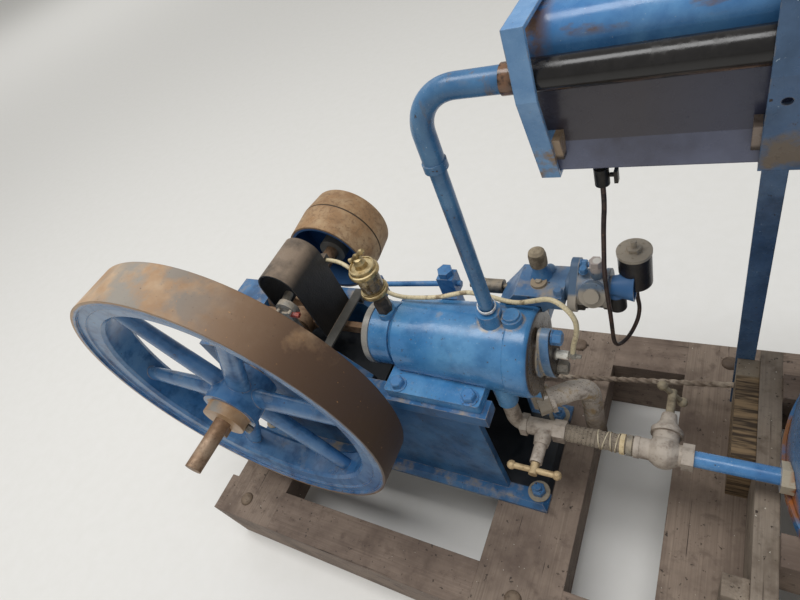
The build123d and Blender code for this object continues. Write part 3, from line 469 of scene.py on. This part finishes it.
def settle(shape, place, axis=(0, 0, 1), spin=0.0):
    """Stands a shape made round the origin on its place, pointing along its axis."""
    turn = Vector((0, 0, 1)).rotation_difference(Vector(axis).normalized()).to_matrix().to_4x4()
    shape.transform(Matrix.Translation(place) @ turn @ Matrix.Rotation(spin, 4, "Z"))
    bmesh.ops.recalc_face_normals(shape, faces=shape.faces)
    mesh = bpy.data.meshes.new("made")
    shape.to_mesh(mesh)
    shape.free()
    mesh.polygons.foreach_set("use_smooth", [True] * len(mesh.polygons))
    mesh.set_sharp_from_angle(angle=math.radians(35))
    return mesh


def hexagon_head(shape, across, height, foot):
    """A chamfered hexagon: across its flats and its height, in millimetres."""
    corner = across / math.sqrt(3)
    shoulder = foot + height * 0.82
    levels = ((corner, foot), (corner, shoulder), (corner * 0.84, foot + height))
    skin(shape, [ring(shape, radius, level, 6) for radius, level in levels])


def disc(shape, radius, low, high):
    """A flat round, such as a washer or a stud end, with a small chamfer."""
    chamfer = 0.6
    levels = ((radius, low), (radius, high - chamfer), (radius - chamfer, high))
    skin(shape, [ring(shape, r, level, 32) for r, level in levels])


def bolt(name, place, axis, across, height, washer, stud, material, body="engine", spin=0.0):
    """A hexagon bolt or nut. Washer is the radius of the one under it, and stud the radius
    and reach of the end that stands out of it."""
    shape = bmesh.new()
    foot = 2.0 if washer else 0.0
    if washer:
        disc(shape, washer, 0.0, foot)
    hexagon_head(shape, across, height, foot)
    if stud:
        radius, reach = stud
        disc(shape, radius, foot + height * 0.9, foot + height + reach)
    piece(name, settle(shape, place, axis, spin), material, body)


def shaped_bar(start, end, radius_at, rings, steps):
    """A bar between two places whose radius depends on how far along and round it is."""
    shape = bmesh.new()
    line = end - start
    length = line.length
    loops = []
    for i in range(rings + 1):
        share = i / rings
        loop = []
        for j in range(steps):
            angle = 2 * math.pi * j / steps
            radius = radius_at(share * length * 1000, angle) / 1000
            loop.append(shape.verts.new((radius * math.cos(angle), radius * math.sin(angle),
                                         share * length)))
        loops.append(loop)
    skin(shape, loops)
    return settle(shape, start, line)


def hoop(place, axis, radius, width, height):
    """A flat band bent into a ring: its middle radius, and its section in millimetres."""
    shape = bmesh.new()
    steps = 64
    section = [(-0.5, -0.5), (0.5, -0.5), (0.5, 0.5), (-0.5, 0.5)]
    loops = []
    for i in range(steps):
        angle = 2 * math.pi * i / steps
        loop = []
        for out, rise in section:
            reach = (radius + out * width) / 1000
            loop.append(shape.verts.new((reach * math.cos(angle), reach * math.sin(angle),
                                         rise * height / 1000)))
        loops.append(loop)
    for i in range(steps):
        last, following = loops[i], loops[(i + 1) % steps]
        for j in range(4):
            k = (j + 1) % 4
            shape.faces.new((last[j], following[j], following[k], last[k]))
    return settle(shape, place, axis)


# Cords, along the same routes as in the solids, in metres
lead_points = [
    (-0.50000, 0.06400, 0.62900), (-0.47600, 0.06400, 0.62900), (-0.44400, 0.05300, 0.62200),
    (-0.41200, 0.04400, 0.60900), (-0.38200, 0.03800, 0.59000), (-0.36400, 0.03500, 0.58300),
    (-0.34200, 0.03200, 0.58300), (-0.30900, 0.03000, 0.58800), (-0.27100, 0.03100, 0.59300),
    (-0.24300, 0.03300, 0.60200), (-0.22000, 0.03500, 0.60700), (-0.19400, 0.03500, 0.60300),
    (-0.17400, 0.03400, 0.59800), (-0.15500, 0.03300, 0.59400), (-0.13800, 0.03200, 0.59550),
    (-0.11700, 0.03000, 0.60500), (-0.09600, 0.02600, 0.61700), (-0.08400, 0.02050, 0.62200),
    (-0.07250, 0.01500, 0.62150), (-0.06250, 0.01030, 0.61600), (-0.05500, 0.00700, 0.60600),
    (-0.05200, 0.00550, 0.59200), (-0.05500, 0.00460, 0.56800), (-0.06250, 0.00410, 0.54300),
    (-0.06500, 0.00400, 0.52600),
]
fuel_points = [
    (-0.00700, 0.04200, 0.80300), (-0.00700, 0.04200, 0.77800), (-0.01200, 0.04500, 0.74000),
    (-0.01500, 0.04600, 0.70000), (-0.01700, 0.04200, 0.66000), (-0.01600, 0.04000, 0.62000),
    (-0.01500, 0.04000, 0.57800), (-0.01600, 0.04400, 0.54000), (-0.01700, 0.04800, 0.50800),
    (-0.01500, 0.05100, 0.49300), (-0.01100, 0.06000, 0.48350), (-0.00500, 0.07200, 0.48000),
    (0.00100, 0.08400, 0.48350), (0.00600, 0.09300, 0.49300), (0.01000, 0.09700, 0.50700),
    (0.01200, 0.10100, 0.52800), (0.00900, 0.10200, 0.54800), (0.00900, 0.10200, 0.56800),
]


def cord(name, points, diameter, material, covers):
    """A cord along its route, as one smooth line."""
    curve = bpy.data.curves.new(name, "CURVE")
    curve.dimensions = "3D"
    curve.bevel_depth = diameter / 2
    curve.bevel_resolution = 5
    curve.resolution_u = 12
    spline = curve.splines.new("NURBS")
    spline.points.add(len(points) - 1)
    for point, place in zip(spline.points, points):
        point.co = (*place, 1.0)
    spline.order_u = 3
    spline.use_endpoint_u = True
    made = bpy.data.objects.new(name, curve)
    bpy.context.scene.collection.objects.link(made)
    curve.materials.append(material)
    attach(made, "engine")
    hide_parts(covers)


def lay_cords():
    """The lead from the timer to the spark plug, and the hose from the tank to the mixer."""
    cord("plug_lead", lead_points, 0.0075, cotton_lead(),
         "ignition_lead")
    cord("fuel_line", fuel_points, 0.006, old_rubber(),
         "fuel_hose")


# Finishes on the solids
def finish(material, *names):
    """Puts a finish on these solids of the engine."""
    for name in names:
        for held in nodes[name].material_slots:
            held.material = material


def finish_casting():
    """The cylinder: beige dust in thin rings round the riser's foot and the core plug, a rubbed
    grey collar, an end face painted dark as shade beside the head, and a dusty exhaust flange.
    The riser has brown streaks above and rust at its joint, and the head plate dust behind, a
    neck darkened with grease and painted shade, and painted shade on its front."""
    finish(enamel("gloss_enamel_on_cylinder", "#3f78aa", "#6096c0", "#2f6593", 0.74,
                  gloss=0.2, marks=(
        ("#a39580", lambda m, w: overlap(m, near(m, w, at(445, 0, 76), 21, 25, (1, 1, 0)),
                                         near(m, w, at(445, 0, 76), 20, 19, (1, 1, 0)),
                                         patches(m, w, 9, 0.45, 0.12))),
        ("#97897a", lambda m, w: overlap(m, near(m, w, at(478, 0, 76), 17, 21, (1, 1, 0)),
                                         near(m, w, at(478, 0, 76), 16.5, 15.5, (1, 1, 0)),
                                         patches(m, w, 8, 0.45, 0.1))),
        ("#8e8a82", lambda m, w: overlap(m, past(m, w, "X", 228, 226.5),
                                         past(m, w, "X", 205, 213))),
        # Dark brown on the barrel's end face: painted shade beside the head plate
        ("#4f443a", lambda m, w: overlap(m, facing(m, (1, 0, 0), 0.6, 0.9),
                                         past(m, w, "X", 505, 507))),
        ("#8c8172", lambda m, w: overlap(m, near(m, w, at(505, -16, -104), 40, 44),
                                         past(m, w, "Z", -73, -78))))),
        "cylinder_casting")
    finish(enamel("gloss_enamel_on_riser", "#416f99", "#5f88a9", "#335f88", 0.7, marks=(
        ("#6d5c4c", lambda m, w: overlap(m, past(m, w, "Z", 185, 200),
                                         patches(m, w, 22, 0.63, 0.06, 5.0, (1, 1, 0.25)))),
        ("#9c5c38", lambda m, w: past(m, w, "X", 551.5, 552.5)))),
        "water_riser")
    plain = enamel("brushed_enamel_on_small_castings", "#3a6fa3", "#5a87b0", "#2b5784", 0.66)
    finish(plain, "pushrod", "pushrod_guide", "pushrod_bearing", "near_bearing_cap",
           "far_bearing_cap")
    finish(enamel("enamel_on_head_plate", "#4678a8", "#8496a3", "#34618d", 0.6, marks=(
        ("#a99c88", lambda m, w: overlap(m, past(m, w, "X", 517, 515),
                                         patches(m, w, 12, 0.42, 0.1))),
        # Near-black on the plate's front face: painted shade
        ("#2b2521", lambda m, w: past(m, w, "X", 528.5, 529.5)),
        # Dark brown on the neck: grease, and painted shade in the gap between barrel and plate
        ("#4a3f36", lambda m, w: past(m, w, "X", 512, 510)))),
        "cylinder_head")


def finish_bed():
    """The bed: a darker blue that is partly painted shade on its shadowed sides, ledges rubbed to
    tan metal, dust on the foot, and a near-black inside that is unpainted metal and painted shade
    in the hollow."""
    # The bed's blue is darker than the cylinder's: partly painted shade on its sides
    finish(enamel("brushed_enamel_on_bed_with_painted_shade", "#2d5d8c", "#3f709b", "#1f4468", 0.6, chips=0.69,
                  gloss=0.3, edge_wear=0.47, marks=(
        ("#8b806c", lambda m, w: overlap(m, past(m, w, "Z", -325, -345),
                                         facing(m, (0, 0, 1), 0.5, 0.9),
                                         patches(m, w, 40, 0.64, 0.1))),
        # Near-black inside the bed: unpainted metal, darkened further as painted shade in the
        # hollow
        ("#14191f", lambda m, w: overlap(m, past(m, w, "Y", -81, -79), past(m, w, "Y", 81, 79),
                                         past(m, w, "Z", -62, -64))))), "engine_bed")


def finish_fuel_side():
    """Valve chest, mixer and air cup: thinner, faded paint gone grey with fuel and dust. The
    chest's screw sits in a brown disc. The mixer has a bluer bell with a pale near side, a bare
    tip and an air hole painted dark as shade, and the cup a pale lid."""
    finish(enamel("faded_enamel_on_chest", "#4a7199", "#6f89a3", "#375d86", 0.64, chips=0.68,
                  gloss=0.34, marks=(
        ("#97866f", lambda m, w: near(m, w, at(502, 67, 82), 12, 13.5, (1, 1, 0.15))),)),
        "valve_chest")
    finish(enamel("faded_enamel_on_mixer", "#4c6d8e", "#838a8e", "#395877", 0.55, chips=0.66,
                  gloss=0.34, marks=(
        ("#4b6580", lambda m, w: past(m, w, "X", 557, 556.2)),
        ("#3f6ea0", lambda m, w: past(m, w, "X", 602, 604)),
        ("#a49a8c", lambda m, w: overlap(m, past(m, w, "Y", 56, 52),
                                         past(m, w, "X", 603, 600))),
        ("#b5a8a0", lambda m, w: near(m, w, at(584, 80, 116), 13, 16)),
        ("#d6d1c8", lambda m, w: near(m, w, at(586, 80, 122), 5, 6.5)),
        # Near-black round the air hole under the bell: painted shade standing for the open mouth
        ("#1b1917", lambda m, w: overlap(m, near(m, w, at(607, 65, 46), 24, 28),
                                         past(m, w, "Z", 58, 55))))),
        "fuel_mixer")
    finish(dusty_metal("black_cup_with_pale_lid", "#241c17", "#120d0a", "#3b322a", 0.1, 0.3,
                       marks=(
        ("#ab9f8e", lambda m, w: past(m, w, "Z", 121.5, 122.5)),
        ("#8d8171", lambda m, w: overlap(m, past(m, w, "Z", 121.5, 122.5),
                                         patches(m, w, 7, 0.64, 0.06))))), "air_cup")


def finish_turning_parts():
    """Flywheel, pulley, crank and piston, the valve stem, and the plug that fires them. The
    pulley keeps blue paint round its hub, bare steel in its middle and a dark line round
    its rim."""
    finish(wheel_finish(), "flywheel")
    finish(rusted_iron("rusty_cast_pulley", "#a07e5a", "#82664b", "#b39a79", marks=(
        ("#33291f", lambda m, w: overlap(m, past(m, w, "Y", 229.5, 231),
                                         past(m, w, "Y", 234.5, 233))),
        ("#2b5583", lambda m, w: near(m, w, at(0, 0, 0), 86, 88, (1, 0, 1))),
        ("#7e7a71", lambda m, w: near(m, w, at(0, 0, 0), 31, 33, (1, 0, 1))))), "belt_pulley")
    finish(rusted_iron("oxidised_shaft_steel", "#93765b", "#6f5540", "#a8917a", 0.45, 0.4),
           "crankshaft", "big_end", "piston_and_rod")
    finish(dusty_metal("drawn_spring_steel", "#6d675e", "#3b342e", "#9b8f7e", 0.5, 0.45),
           "valve_stem")
    finish(porcelain(), "spark_plug")


def finish_timbers():
    """The skid's runners and planks, and the bearers and blocks that stand on it."""
    # The way the grain runs, drawn fifty times as long as it is wide
    along_x, along_y, upright = (0.02, 1, 1), (1, 0.02, 1), (1, 1, 0.02)
    rough_sawn = (0.1, 0.1, 0.55)
    finish(timber("weathered_runner_timber", along_x, "#7b6a5e", "#8d7c6e", "#5c4d43"),
           "near_runner", "far_runner", "near_tank_rail", "far_tank_rail")
    finish(timber("weathered_plank_timber", along_y, "#7e6d61", "#908071", "#5f5046"),
           "cross_timber_1", "cross_timber_2", "cross_timber_3", "cross_timber_4")
    finish(timber("pale_bearer_timber", along_y, "#85796c", "#978a7b", "#675a4d"),
           "left_bearer", "right_bearer")
    # Saw marks about 6 mm apart run across the block, up to its grey end
    finish(timber("sawn_block_timber", rough_sawn, "#877a69", "#978a77", "#6a5c4b", (
        ("#8a7355", lambda m, w: past(m, w, "Y", 156, 152)),
        ("#3c2f22", lambda m, w: overlap(m, past(m, w, "Y", 156, 152),
                                         patches(m, w, 6, 0.5, 0.09, 3.0, (0.08, 1, 1)))))),
           "far_sawn_block")
    finish(timber("short_block_timber", upright, "#85776a", "#988a79", "#5a4d41"),
           "near_sawn_block")


def finish_tanks():
    """Thin sheet tanks: glossy blue on top where the light falls, rust blooming through at seams,
    and a violet-grey front that is painted shade with some grime, bluer across its middle and
    paler below the crease as a painted reflection of the floor. A near-black disc painted on the
    front stands in as shade for a hole. The spacers under the straps are tan where they stand out
    beside them, with a dark foot."""
    # The masks that more than one piece or mark uses
    def front(m):
        return facing(m, (0, -1, 0), 0.4, 0.7)

    def beside_bands(m, w):
        return overlap(m, past(m, w, "X", 581.2, 581.4), past(m, w, "X", 978.8, 978.6))

    def beside_wide_strap(m, w):
        return past(m, w, "X", 754.9, 754.6)

    def spacer_foot(m, w):
        return past(m, w, "Z", 353, 349)

    finish(enamel("gloss_enamel_on_tank_sheet", "#4077ad", "#5f90bd", "#2c5f97", 0.74,
                  chips=0.74, rust=0.8, gloss=0.2, edge_wear=0.6, marks=(
        ("#7d6250", lambda m, w: overlap(
            m, past(m, w, "Z", 455, 470), past(m, w, "X", 860, 960),
            patches(m, w, 40, 0.45, 0.08, 6.0, (0.5, 1, 1)))),
        ("#7d6250", lambda m, w: overlap(
            m, past(m, w, "Z", 440, 460), past(m, w, "X", 592, 576),
            patches(m, w, 20, 0.46, 0.08, 6.0))),
        ("#6a5443", lambda m, w: overlap(
            m, past(m, w, "Z", 462, 468), past(m, w, "Z", 478, 474),
            patches(m, w, 30, 0.6, 0.05, 6.0, (0.4, 1, 1)))),
        # Violet-grey front above the crease: painted shade, with some grime
        ("#454148", lambda m, w: overlap(m, front(m), past(m, w, "Z", 449, 443))),
        # Bluer across the middle of the same painted shade
        ("#3f4763", lambda m, w: overlap(m, front(m), past(m, w, "Z", 449, 443),
                                         past(m, w, "X", 660, 800))),
        # Paler below the crease: a painted reflection of the floor
        ("#6b7087", lambda m, w: overlap(m, front(m), past(m, w, "Z", 360.5, 359.5),
                                         patches(m, w, 120, 0.42, 0.15))),
        # A near-black disc on the tank: painted shade standing for a hole
        ("#0f0e0e", lambda m, w: near(m, w, at(768, 17, 403), 6.5, 8, (1, 0, 1))))),
        "fuel_tank_shell", "fuel_tank_left_end", "fuel_tank_right_end")
    finish(enamel("enamel_on_cooling_tank", "#3c6f9f", "#4a7ba9", "#326391", 0.7, rust=0.72,
                  marks=(
        ("#8a5c38", lambda m, w: overlap(m, past(m, w, "Z", -135, -180),
                                         patches(m, w, 50, 0.47, 0.06, 6.0, (1, 1, 0.5)))),
        ("#a3612c", lambda m, w: overlap(m, near(m, w, at(838, -47, -185), 24, 46),
                                         patches(m, w, 14, 0.45, 0.08))))),
        "tank_shell", "tank_bottom", "tank_lid")
    finish(enamel("enamel_on_tank_straps", "#6b97c4", "#85abd1", "#5383b4", 0.74, chips=0.74,
                  edge_wear=0.56, marks=(
        ("#8f7a64", lambda m, w: overlap(m, past(m, w, "Z", 385, 365),
                                         patches(m, w, 26, 0.58, 0.06))),
        ("#a08970", beside_bands),
        ("#3d3128", lambda m, w: overlap(m, beside_bands(m, w), spacer_foot(m, w))))),
        "left_band", "right_band")
    finish(enamel("enamel_on_tank_post", "#456489", "#5b7b9d", "#33506f", 0.66, marks=(
        ("#75685a", lambda m, w: overlap(m, past(m, w, "Z", 400, 360), past(m, w, "Y", 20, 15),
                                         patches(m, w, 34, 0.58, 0.07))),
        ("#8f7f73", beside_wide_strap),
        ("#3d3128", lambda m, w: overlap(m, beside_wide_strap(m, w), spacer_foot(m, w))))),
        "tank_post")


def finish_metalwork():
    """The guard, timer, taps, valve, fittings and pipes, each in its own metal. The guard's
    bar is greyer than its sheet, the exhaust is darker low down, the black tube is rusty at
    its end, and so is the blue pipe beside the tank."""
    finish(dusty_metal("sooty_sheet_steel", "#191615", "#0e0c0b", "#3a332d", 0.1, 0.42, marks=(
        ("#847362", lambda m, w: overlap(m, facing(m, (0, 0, 1), 0.2, 0.75),
                                         patches(m, w, 60, 0.4, 0.12))),
        ("#4f4d48", lambda m, w: past(m, w, "X", 135.5, 136.2)))),
        "crank_guard")
    finish(dusty_metal("grey_cast_alloy", "#98948c", "#6a655d", "#aca08f", 0.4, 0.42),
           "ignition_timer")
    finish(dusty_metal("dull_tap_brass", "#b39a74", "#86704f", "#c6b08a", 0.4, 0.42),
           "drain_tap_handle")
    finish(dusty_metal("dusty_wheel_brass", "#978a72", "#6b5d49", "#aea188", 0.3, 0.5),
           "valve_handle")
    finish(dusty_metal("black_tap_brass", "#2b2723", "#151210", "#4b4238", 0.4, 0.4),
           "fuel_tap", "fuel_tap_lever")
    finish(dusty_metal("dusty_malleable_iron", "#a3978a", "#7a6d61", "#bbb0a3", 0.15, 0.6,
                       0.2), "inlet_fittings", "globe_valve")
    finish(dusty_metal("scaled_exhaust_iron", "#b0a599", "#807366", "#cbc1b5", 0.05, 0.8, 0.4,
                       marks=(
        ("#c4b8ab", lambda m, w: patches(m, w, 8, 0.56, 0.1)),
        ("#a08762", lambda m, w: patches(m, w, 14, 0.6, 0.08)),
        ("#66574a", lambda m, w: patches(m, w, 2.5, 0.66, 0.06, 2.0)),
        ("#57493c", lambda m, w: past(m, w, "Z", -160, -240)))),
        "exhaust_pipe")
    finish(dusty_metal("black_steel_tube", "#1a1818", "#110f0f", "#2c2927", 0.0, 0.19, 0.04,
                       marks=(
        ("#7a5a44", lambda m, w: overlap(m, past(m, w, "X", 566, 553),
                                         patches(m, w, 9, 0.45, 0.08))),
        ("#6a5140", lambda m, w: overlap(m, facing(m, (0, -0.35, -1), 0.75, 0.95),
                                         patches(m, w, 12, 0.55, 0.08, 4.0, (0.2, 1, 1))))),
                       dust=0.66), "return_tube")
    finish(enamel("gloss_enamel_on_pipe", "#3f7ab3", "#6295c2", "#2f659c", 0.72, marks=(
        ("#b3a791", lambda m, w: past(m, w, "X", 825.5, 826.5)),
        ("#9a5c2c", lambda m, w: overlap(m, past(m, w, "X", 834, 842),
                                         patches(m, w, 8, 0.48, 0.06))))), "blue_pipe")


# Pieces made here
def fit_bolts():
    """The bolts, nuts and washers that hold the engine together and down, each group spun
    its own way, as a spanner leaves them."""
    # Heights from the crank, in millimetres, of what they stand on
    cylinder_foot, bed_foot, skid = -22, -351, -366
    washer = 2.8
    painted = enamel("enamel_on_bolt_heads", "#3f74a8", "#5f8cb4", "#2f5c8a", 0.7, chips=0.66)
    bare = dusty_metal("oiled_bolt_steel", "#8a867e", "#4f4942", "#a1978a", 0.5, 0.4)
    black = dusty_metal("blackened_bolt_steel", "#3b3631", "#211c19", "#5d5348", 0.3, 0.5)
    pale = dusty_metal("dusty_washer_steel", "#8f8677", "#6a6053", "#a59b89", 0.3, 0.6)
    rusty = rusted_iron("rusty_coach_bolt", "#6b5a4c", "#4e4035", "#83725f", 0.2, 0.6)
    up = (0, 0, 1)
    for n, x in enumerate((286, 415)):
        for side, y in (("near", -88), ("far", 88)):
            bolt(f"cylinder_bolt_{side}_{n + 1}", at(x, y, cylinder_foot), up, 21, 11, 15,
                 None, painted, spin=0.3 + n)
    for n, x in enumerate((468, -218)):
        for side, y in (("near", -84), ("far", 84)):
            plate = turned([(21, 0), (21, 2.2), (20.3, washer), (9, washer)],
                           at(x, y, bed_foot))
            piece(f"foundation_washer_{side}_{n + 1}", plate, pale, "engine")
            bolt(f"foundation_nut_{side}_{n + 1}", at(x, y, bed_foot + washer), up, 24, 13,
                 None, (7.5, 9), painted, spin=0.5 * n)
    for n, x in enumerate((-183, 468, 762, 1448)):
        for side, y in (("near", -278), ("far", 278)):
            dome = turned([(15.5, -1), (15.5, 1), (14.5, 3.4), (11.5, 5.8), (7, 7.2), (2, 7.6)],
                          at(x, y, skid))
            piece(f"coach_bolt_{side}_{n + 1}", dome, rusty, "engine")
    for n, z in enumerate((37.5, -37.5)):
        bolt(f"head_bolt_{n + 1}", at(530, 3, z), (1, 0, 0), 20, 13, 12, None,
             painted if n == 0 else bare, spin=0.26)
    # The mixer's flange is held by two studs on a slanting line through its middle
    slant = math.radians(-51)
    for n, reach in enumerate((30, -30)):
        y, z = 77 + reach * math.cos(slant), 73 - reach * math.sin(slant)
        bolt(f"mixer_flange_nut_{n + 1}", at(558, y, z), (1, 0, 0), 13, 8, 8, (4, 4),
             black if n else painted, spin=0.2)
    bolt("mixer_clamp_bolt", at(566, 78, 101), (0.1, -0.2, 1), 10, 8, 6.5, None, painted)
    bolt("wheel_set_screw", at(30, -225, -26), (0.55, -0.1, -0.8), 12, 12, None, None, bare,
         body="crank", spin=0.4)


def cap_chest():
    """On the chest: a speckled cap on a tapered blue neck, a slotted screw, a low boss and
    one corner bolt."""
    chest_paint = nodes["valve_chest"].material_slots[0].material
    plain_paint = nodes["pushrod_guide"].material_slots[0].material
    place = at(502, 83, 0)
    neck = turned([(17, 81), (15, 86), (12, 96), (10.8, 107)], place)
    piece("chest_cap_neck", neck, plain_paint, "engine")
    boss = turned([(9, 81), (9, 86), (7.5, 89), (4, 91), (1, 91.4)], at(512, 94, 0), steps=32)
    piece("chest_boss", boss, chest_paint, "engine")
    bolt("chest_corner_bolt", at(535, 49, 82), (0, 0, 1), 12, 8, 7, None, chest_paint, spin=0.4)
    speckled = dusty_metal("speckled_cast_cap", "#8b7d68", "#5c5040", "#a3957e", 0.1, 0.7)
    profile = [(10.9, 105), (12.8, 107), (13.2, 112), (13.2, 125), (11.9, 131), (8, 134.6),
               (3, 135.2), (1, 135.2)]
    piece("chest_cap", turned(profile, place), speckled, "engine")
    slotted = dusty_metal("slotted_screw_steel", "#857b6d", "#554a3f", "#a89c8a", 0.3, 0.5)
    screw = turned([(5.2, 80), (5.2, 87.5), (4.4, 88.8), (1, 88.8)], at(502, 67, 0), steps=24)
    piece("chest_screw", screw, slotted, "engine")


def dress_timer():
    """The red block that holds the timer's points."""
    block = turned([(5, -9), (5.6, -8), (5.6, 8), (5, 9)], at(121, -62, 107), (1, 0.1, -0.35),
                   steps=6)
    piece("timer_red_block", block, moulded_phenolic(), "engine")


def wind_twine():
    """The hose between the tee and the globe valve, wound with twine, and the tape and clip
    at its end."""
    # Pitch of the turns, which are laid from three strands, and the radius under them, in mm
    pitch, core = 6.4, 12.9
    hose_y, hose_z = -47, -155
    lengthwise = (1, 0, 0)
    seed = random.Random(4)
    high = [seed.uniform(-0.5, 0.5) for _ in range(40)]

    def radius_at(along, angle):
        turn = along / pitch + angle / (2 * math.pi)
        strand = abs(math.sin(math.pi * turn))
        fine = abs(math.sin(3 * math.pi * turn))
        return core + (1.5 + high[int(turn) % len(high)]) * strand ** 0.45 + 0.25 * fine

    mesh = shaped_bar(at(537, hose_y, hose_z), at(640, hose_y, hose_z), radius_at, 360, 48)
    piece("wound_hose", mesh, hemp_twine(), "engine", ["wrapped_hose"])
    loose = dusty_metal("pale_loose_twine", "#b5a78d", "#8a7a62", "#cfc3aa", 0.0, 0.85)
    for n, (x, lean) in enumerate(((589, 0.16), (598, -0.22), (607, 0.1), (616, -0.12))):
        mesh = hoop(at(x, hose_y, hose_z), (1, lean, lean * 0.6), 14.9, 1.6, 1.6)
        piece(f"loose_turn_{n + 1}", mesh, loose, "engine")
    tape = dusty_metal("cream_cloth_tape", "#c9b48c", "#a08a64", "#d8c8a4", 0.0, 0.8)
    piece("tape_band", hoop(at(624, hose_y, hose_z), lengthwise, 15.3, 1.6, 7.0), tape,
          "engine")
    clip = dusty_metal("galvanised_hose_clip", "#8d877c", "#5f574c", "#aca08c", 0.5, 0.45)
    piece("hose_clip", hoop(at(634, hose_y, hose_z), lengthwise, 15.4, 1.4, 8.0), clip,
          "engine")


def twist_tie_rod():
    """The bar twisted like rope between the bed and the far block: three ridges round it,
    which turn once in 57 mm."""
    core, ridge, ridges, twist = 4.7, 0.9, 3, 9.0

    def radius_at(along, angle):
        return core + ridge * math.cos(ridges * (angle - along / twist))

    bar = rusted_iron("rusty_twisted_bar", "#968677", "#6a5949", "#b9ab99", 0.25, 0.6)
    mesh = shaped_bar(at(395, 177, -359.5), at(769, 169, -276), radius_at, 380, 24)
    piece("twisted_tie_rod", mesh, bar, "engine", ["tie_rod"])


def fit_oiler():
    """The drip oiler: a dark iron foot, brass gallery and cap, a sight glass between them,
    and a thumb lever on top."""
    brass = dusty_metal("dull_oiler_brass", "#b39a6a", "#77623d", "#cdbd95", 0.75, 0.3)
    iron = dusty_metal("oily_iron_foot", "#4c4137", "#2b231c", "#76695a", 0.3, 0.5)
    place = at(256, 0, 0)
    foot = turned([(9, 62), (13.8, 66), (13.8, 90), (12, 95), (8, 97), (7.5, 108), (9, 111)],
                  place, steps=6)
    piece("oiler_foot", foot, iron, "engine", ["oiler"])
    gallery = turned([(8, 108), (14, 110), (22.6, 111.5), (23.4, 113.5), (23.4, 117),
                      (22.6, 118.5), (20.5, 119), (20.5, 122), (18, 122)], place)
    piece("oiler_gallery", gallery, brass, "engine")
    glass = turned([(18.4, 120), (18.6, 121), (18.9, 154), (18.6, 155)], place)
    piece("oiler_glass", glass, sight_glass(), "engine")
    inner = turned([(5.5, 119), (5.5, 133), (3, 136), (3, 156)], place, steps=24)
    piece("oiler_drip_tube", inner, brass, "engine")
    cap = turned([(19.6, 152), (20.8, 153), (20.8, 155.5), (24.4, 156.5), (25, 158.5),
                  (25, 162), (24, 164), (21.5, 165), (21.5, 170.5), (20.2, 172), (18.6, 172),
                  (18, 170), (11, 169.5), (10, 171), (9.6, 178), (8, 180), (7.4, 186),
                  (4, 188)], place)
    piece("oiler_cap", cap, brass, "engine")

    def radius_at(along, angle):
        """The lever swells at its middle and its ends, and is a little flattened."""
        swell = math.cos(along / 27 * 2 * math.pi) ** 2
        return 3.0 + 1.9 * swell * (0.7 + 0.3 * math.cos(angle) ** 2)

    lever = shaped_bar(at(244, -4, 184), at(270, 5, 200), radius_at, 28, 20)
    piece("oiler_lever", lever, brass, "engine")


def tie_lead():
    """The cable tie that holds the lead to the riser's foot."""
    mesh = hoop(at(445, 0, 101), (0.12, -0.2, 1), 13.2, 1.6, 5.0)
    piece("lead_tie", mesh, nylon_tie(), "engine")


# Studio
def lamp(name, place, aim, width, depth, power):
    """A soft rectangular lamp, pointed at its aim: metres and watts."""
    data = bpy.data.lights.new(name, "AREA")
    data.shape = "RECTANGLE"
    data.size = width
    data.size_y = depth
    data.energy = power
    made = bpy.data.objects.new(name, data)
    made.location = place
    made.rotation_euler = (Vector(aim) - Vector(place)).to_track_quat("-Z", "Y").to_euler()
    bpy.context.scene.collection.objects.link(made)


def build_studio():
    """A wide floor of pale paper under plain soft light, one millimetre below the skid."""
    bpy.context.scene.view_settings.view_transform = "Standard"
    shape = bmesh.new()
    bmesh.ops.create_grid(shape, x_segments=8, y_segments=8, size=30.0)
    floor = bpy.data.meshes.new("floor")
    shape.to_mesh(floor)
    shape.free()
    floor.materials.append(studio_paper())
    made = bpy.data.objects.new("floor", floor)
    made.location = (0, 0, -0.001)
    bpy.context.scene.collection.objects.link(made)
    world = bpy.data.worlds.new("studio_air")
    world.use_nodes = True
    bpy.context.scene.world = world
    sky = world.node_tree.nodes["Background"]
    sky.inputs["Color"].default_value = linear("#f2f1ee")
    sky.inputs["Strength"].default_value = 0.5
    lamp("overhead_lamp", (-0.8, -0.4, 4.6), (-0.8, -0.38, 0), 4.4, 1.6, 140)
    # Keeps the far floor as pale as the near one
    lamp("far_floor_lamp", (-9.0, 5.5, 6.0), (-9.5, 5.8, 0), 8.0, 6.0, 190)


set_camera()
lay_cords()
finish_casting()
finish_bed()
finish_fuel_side()
finish_turning_parts()
finish_timbers()
finish_tanks()
finish_metalwork()
fit_bolts()
wind_twine()
twist_tie_rod()
fit_oiler()
tie_lead()
cap_chest()
dress_timer()
build_studio()
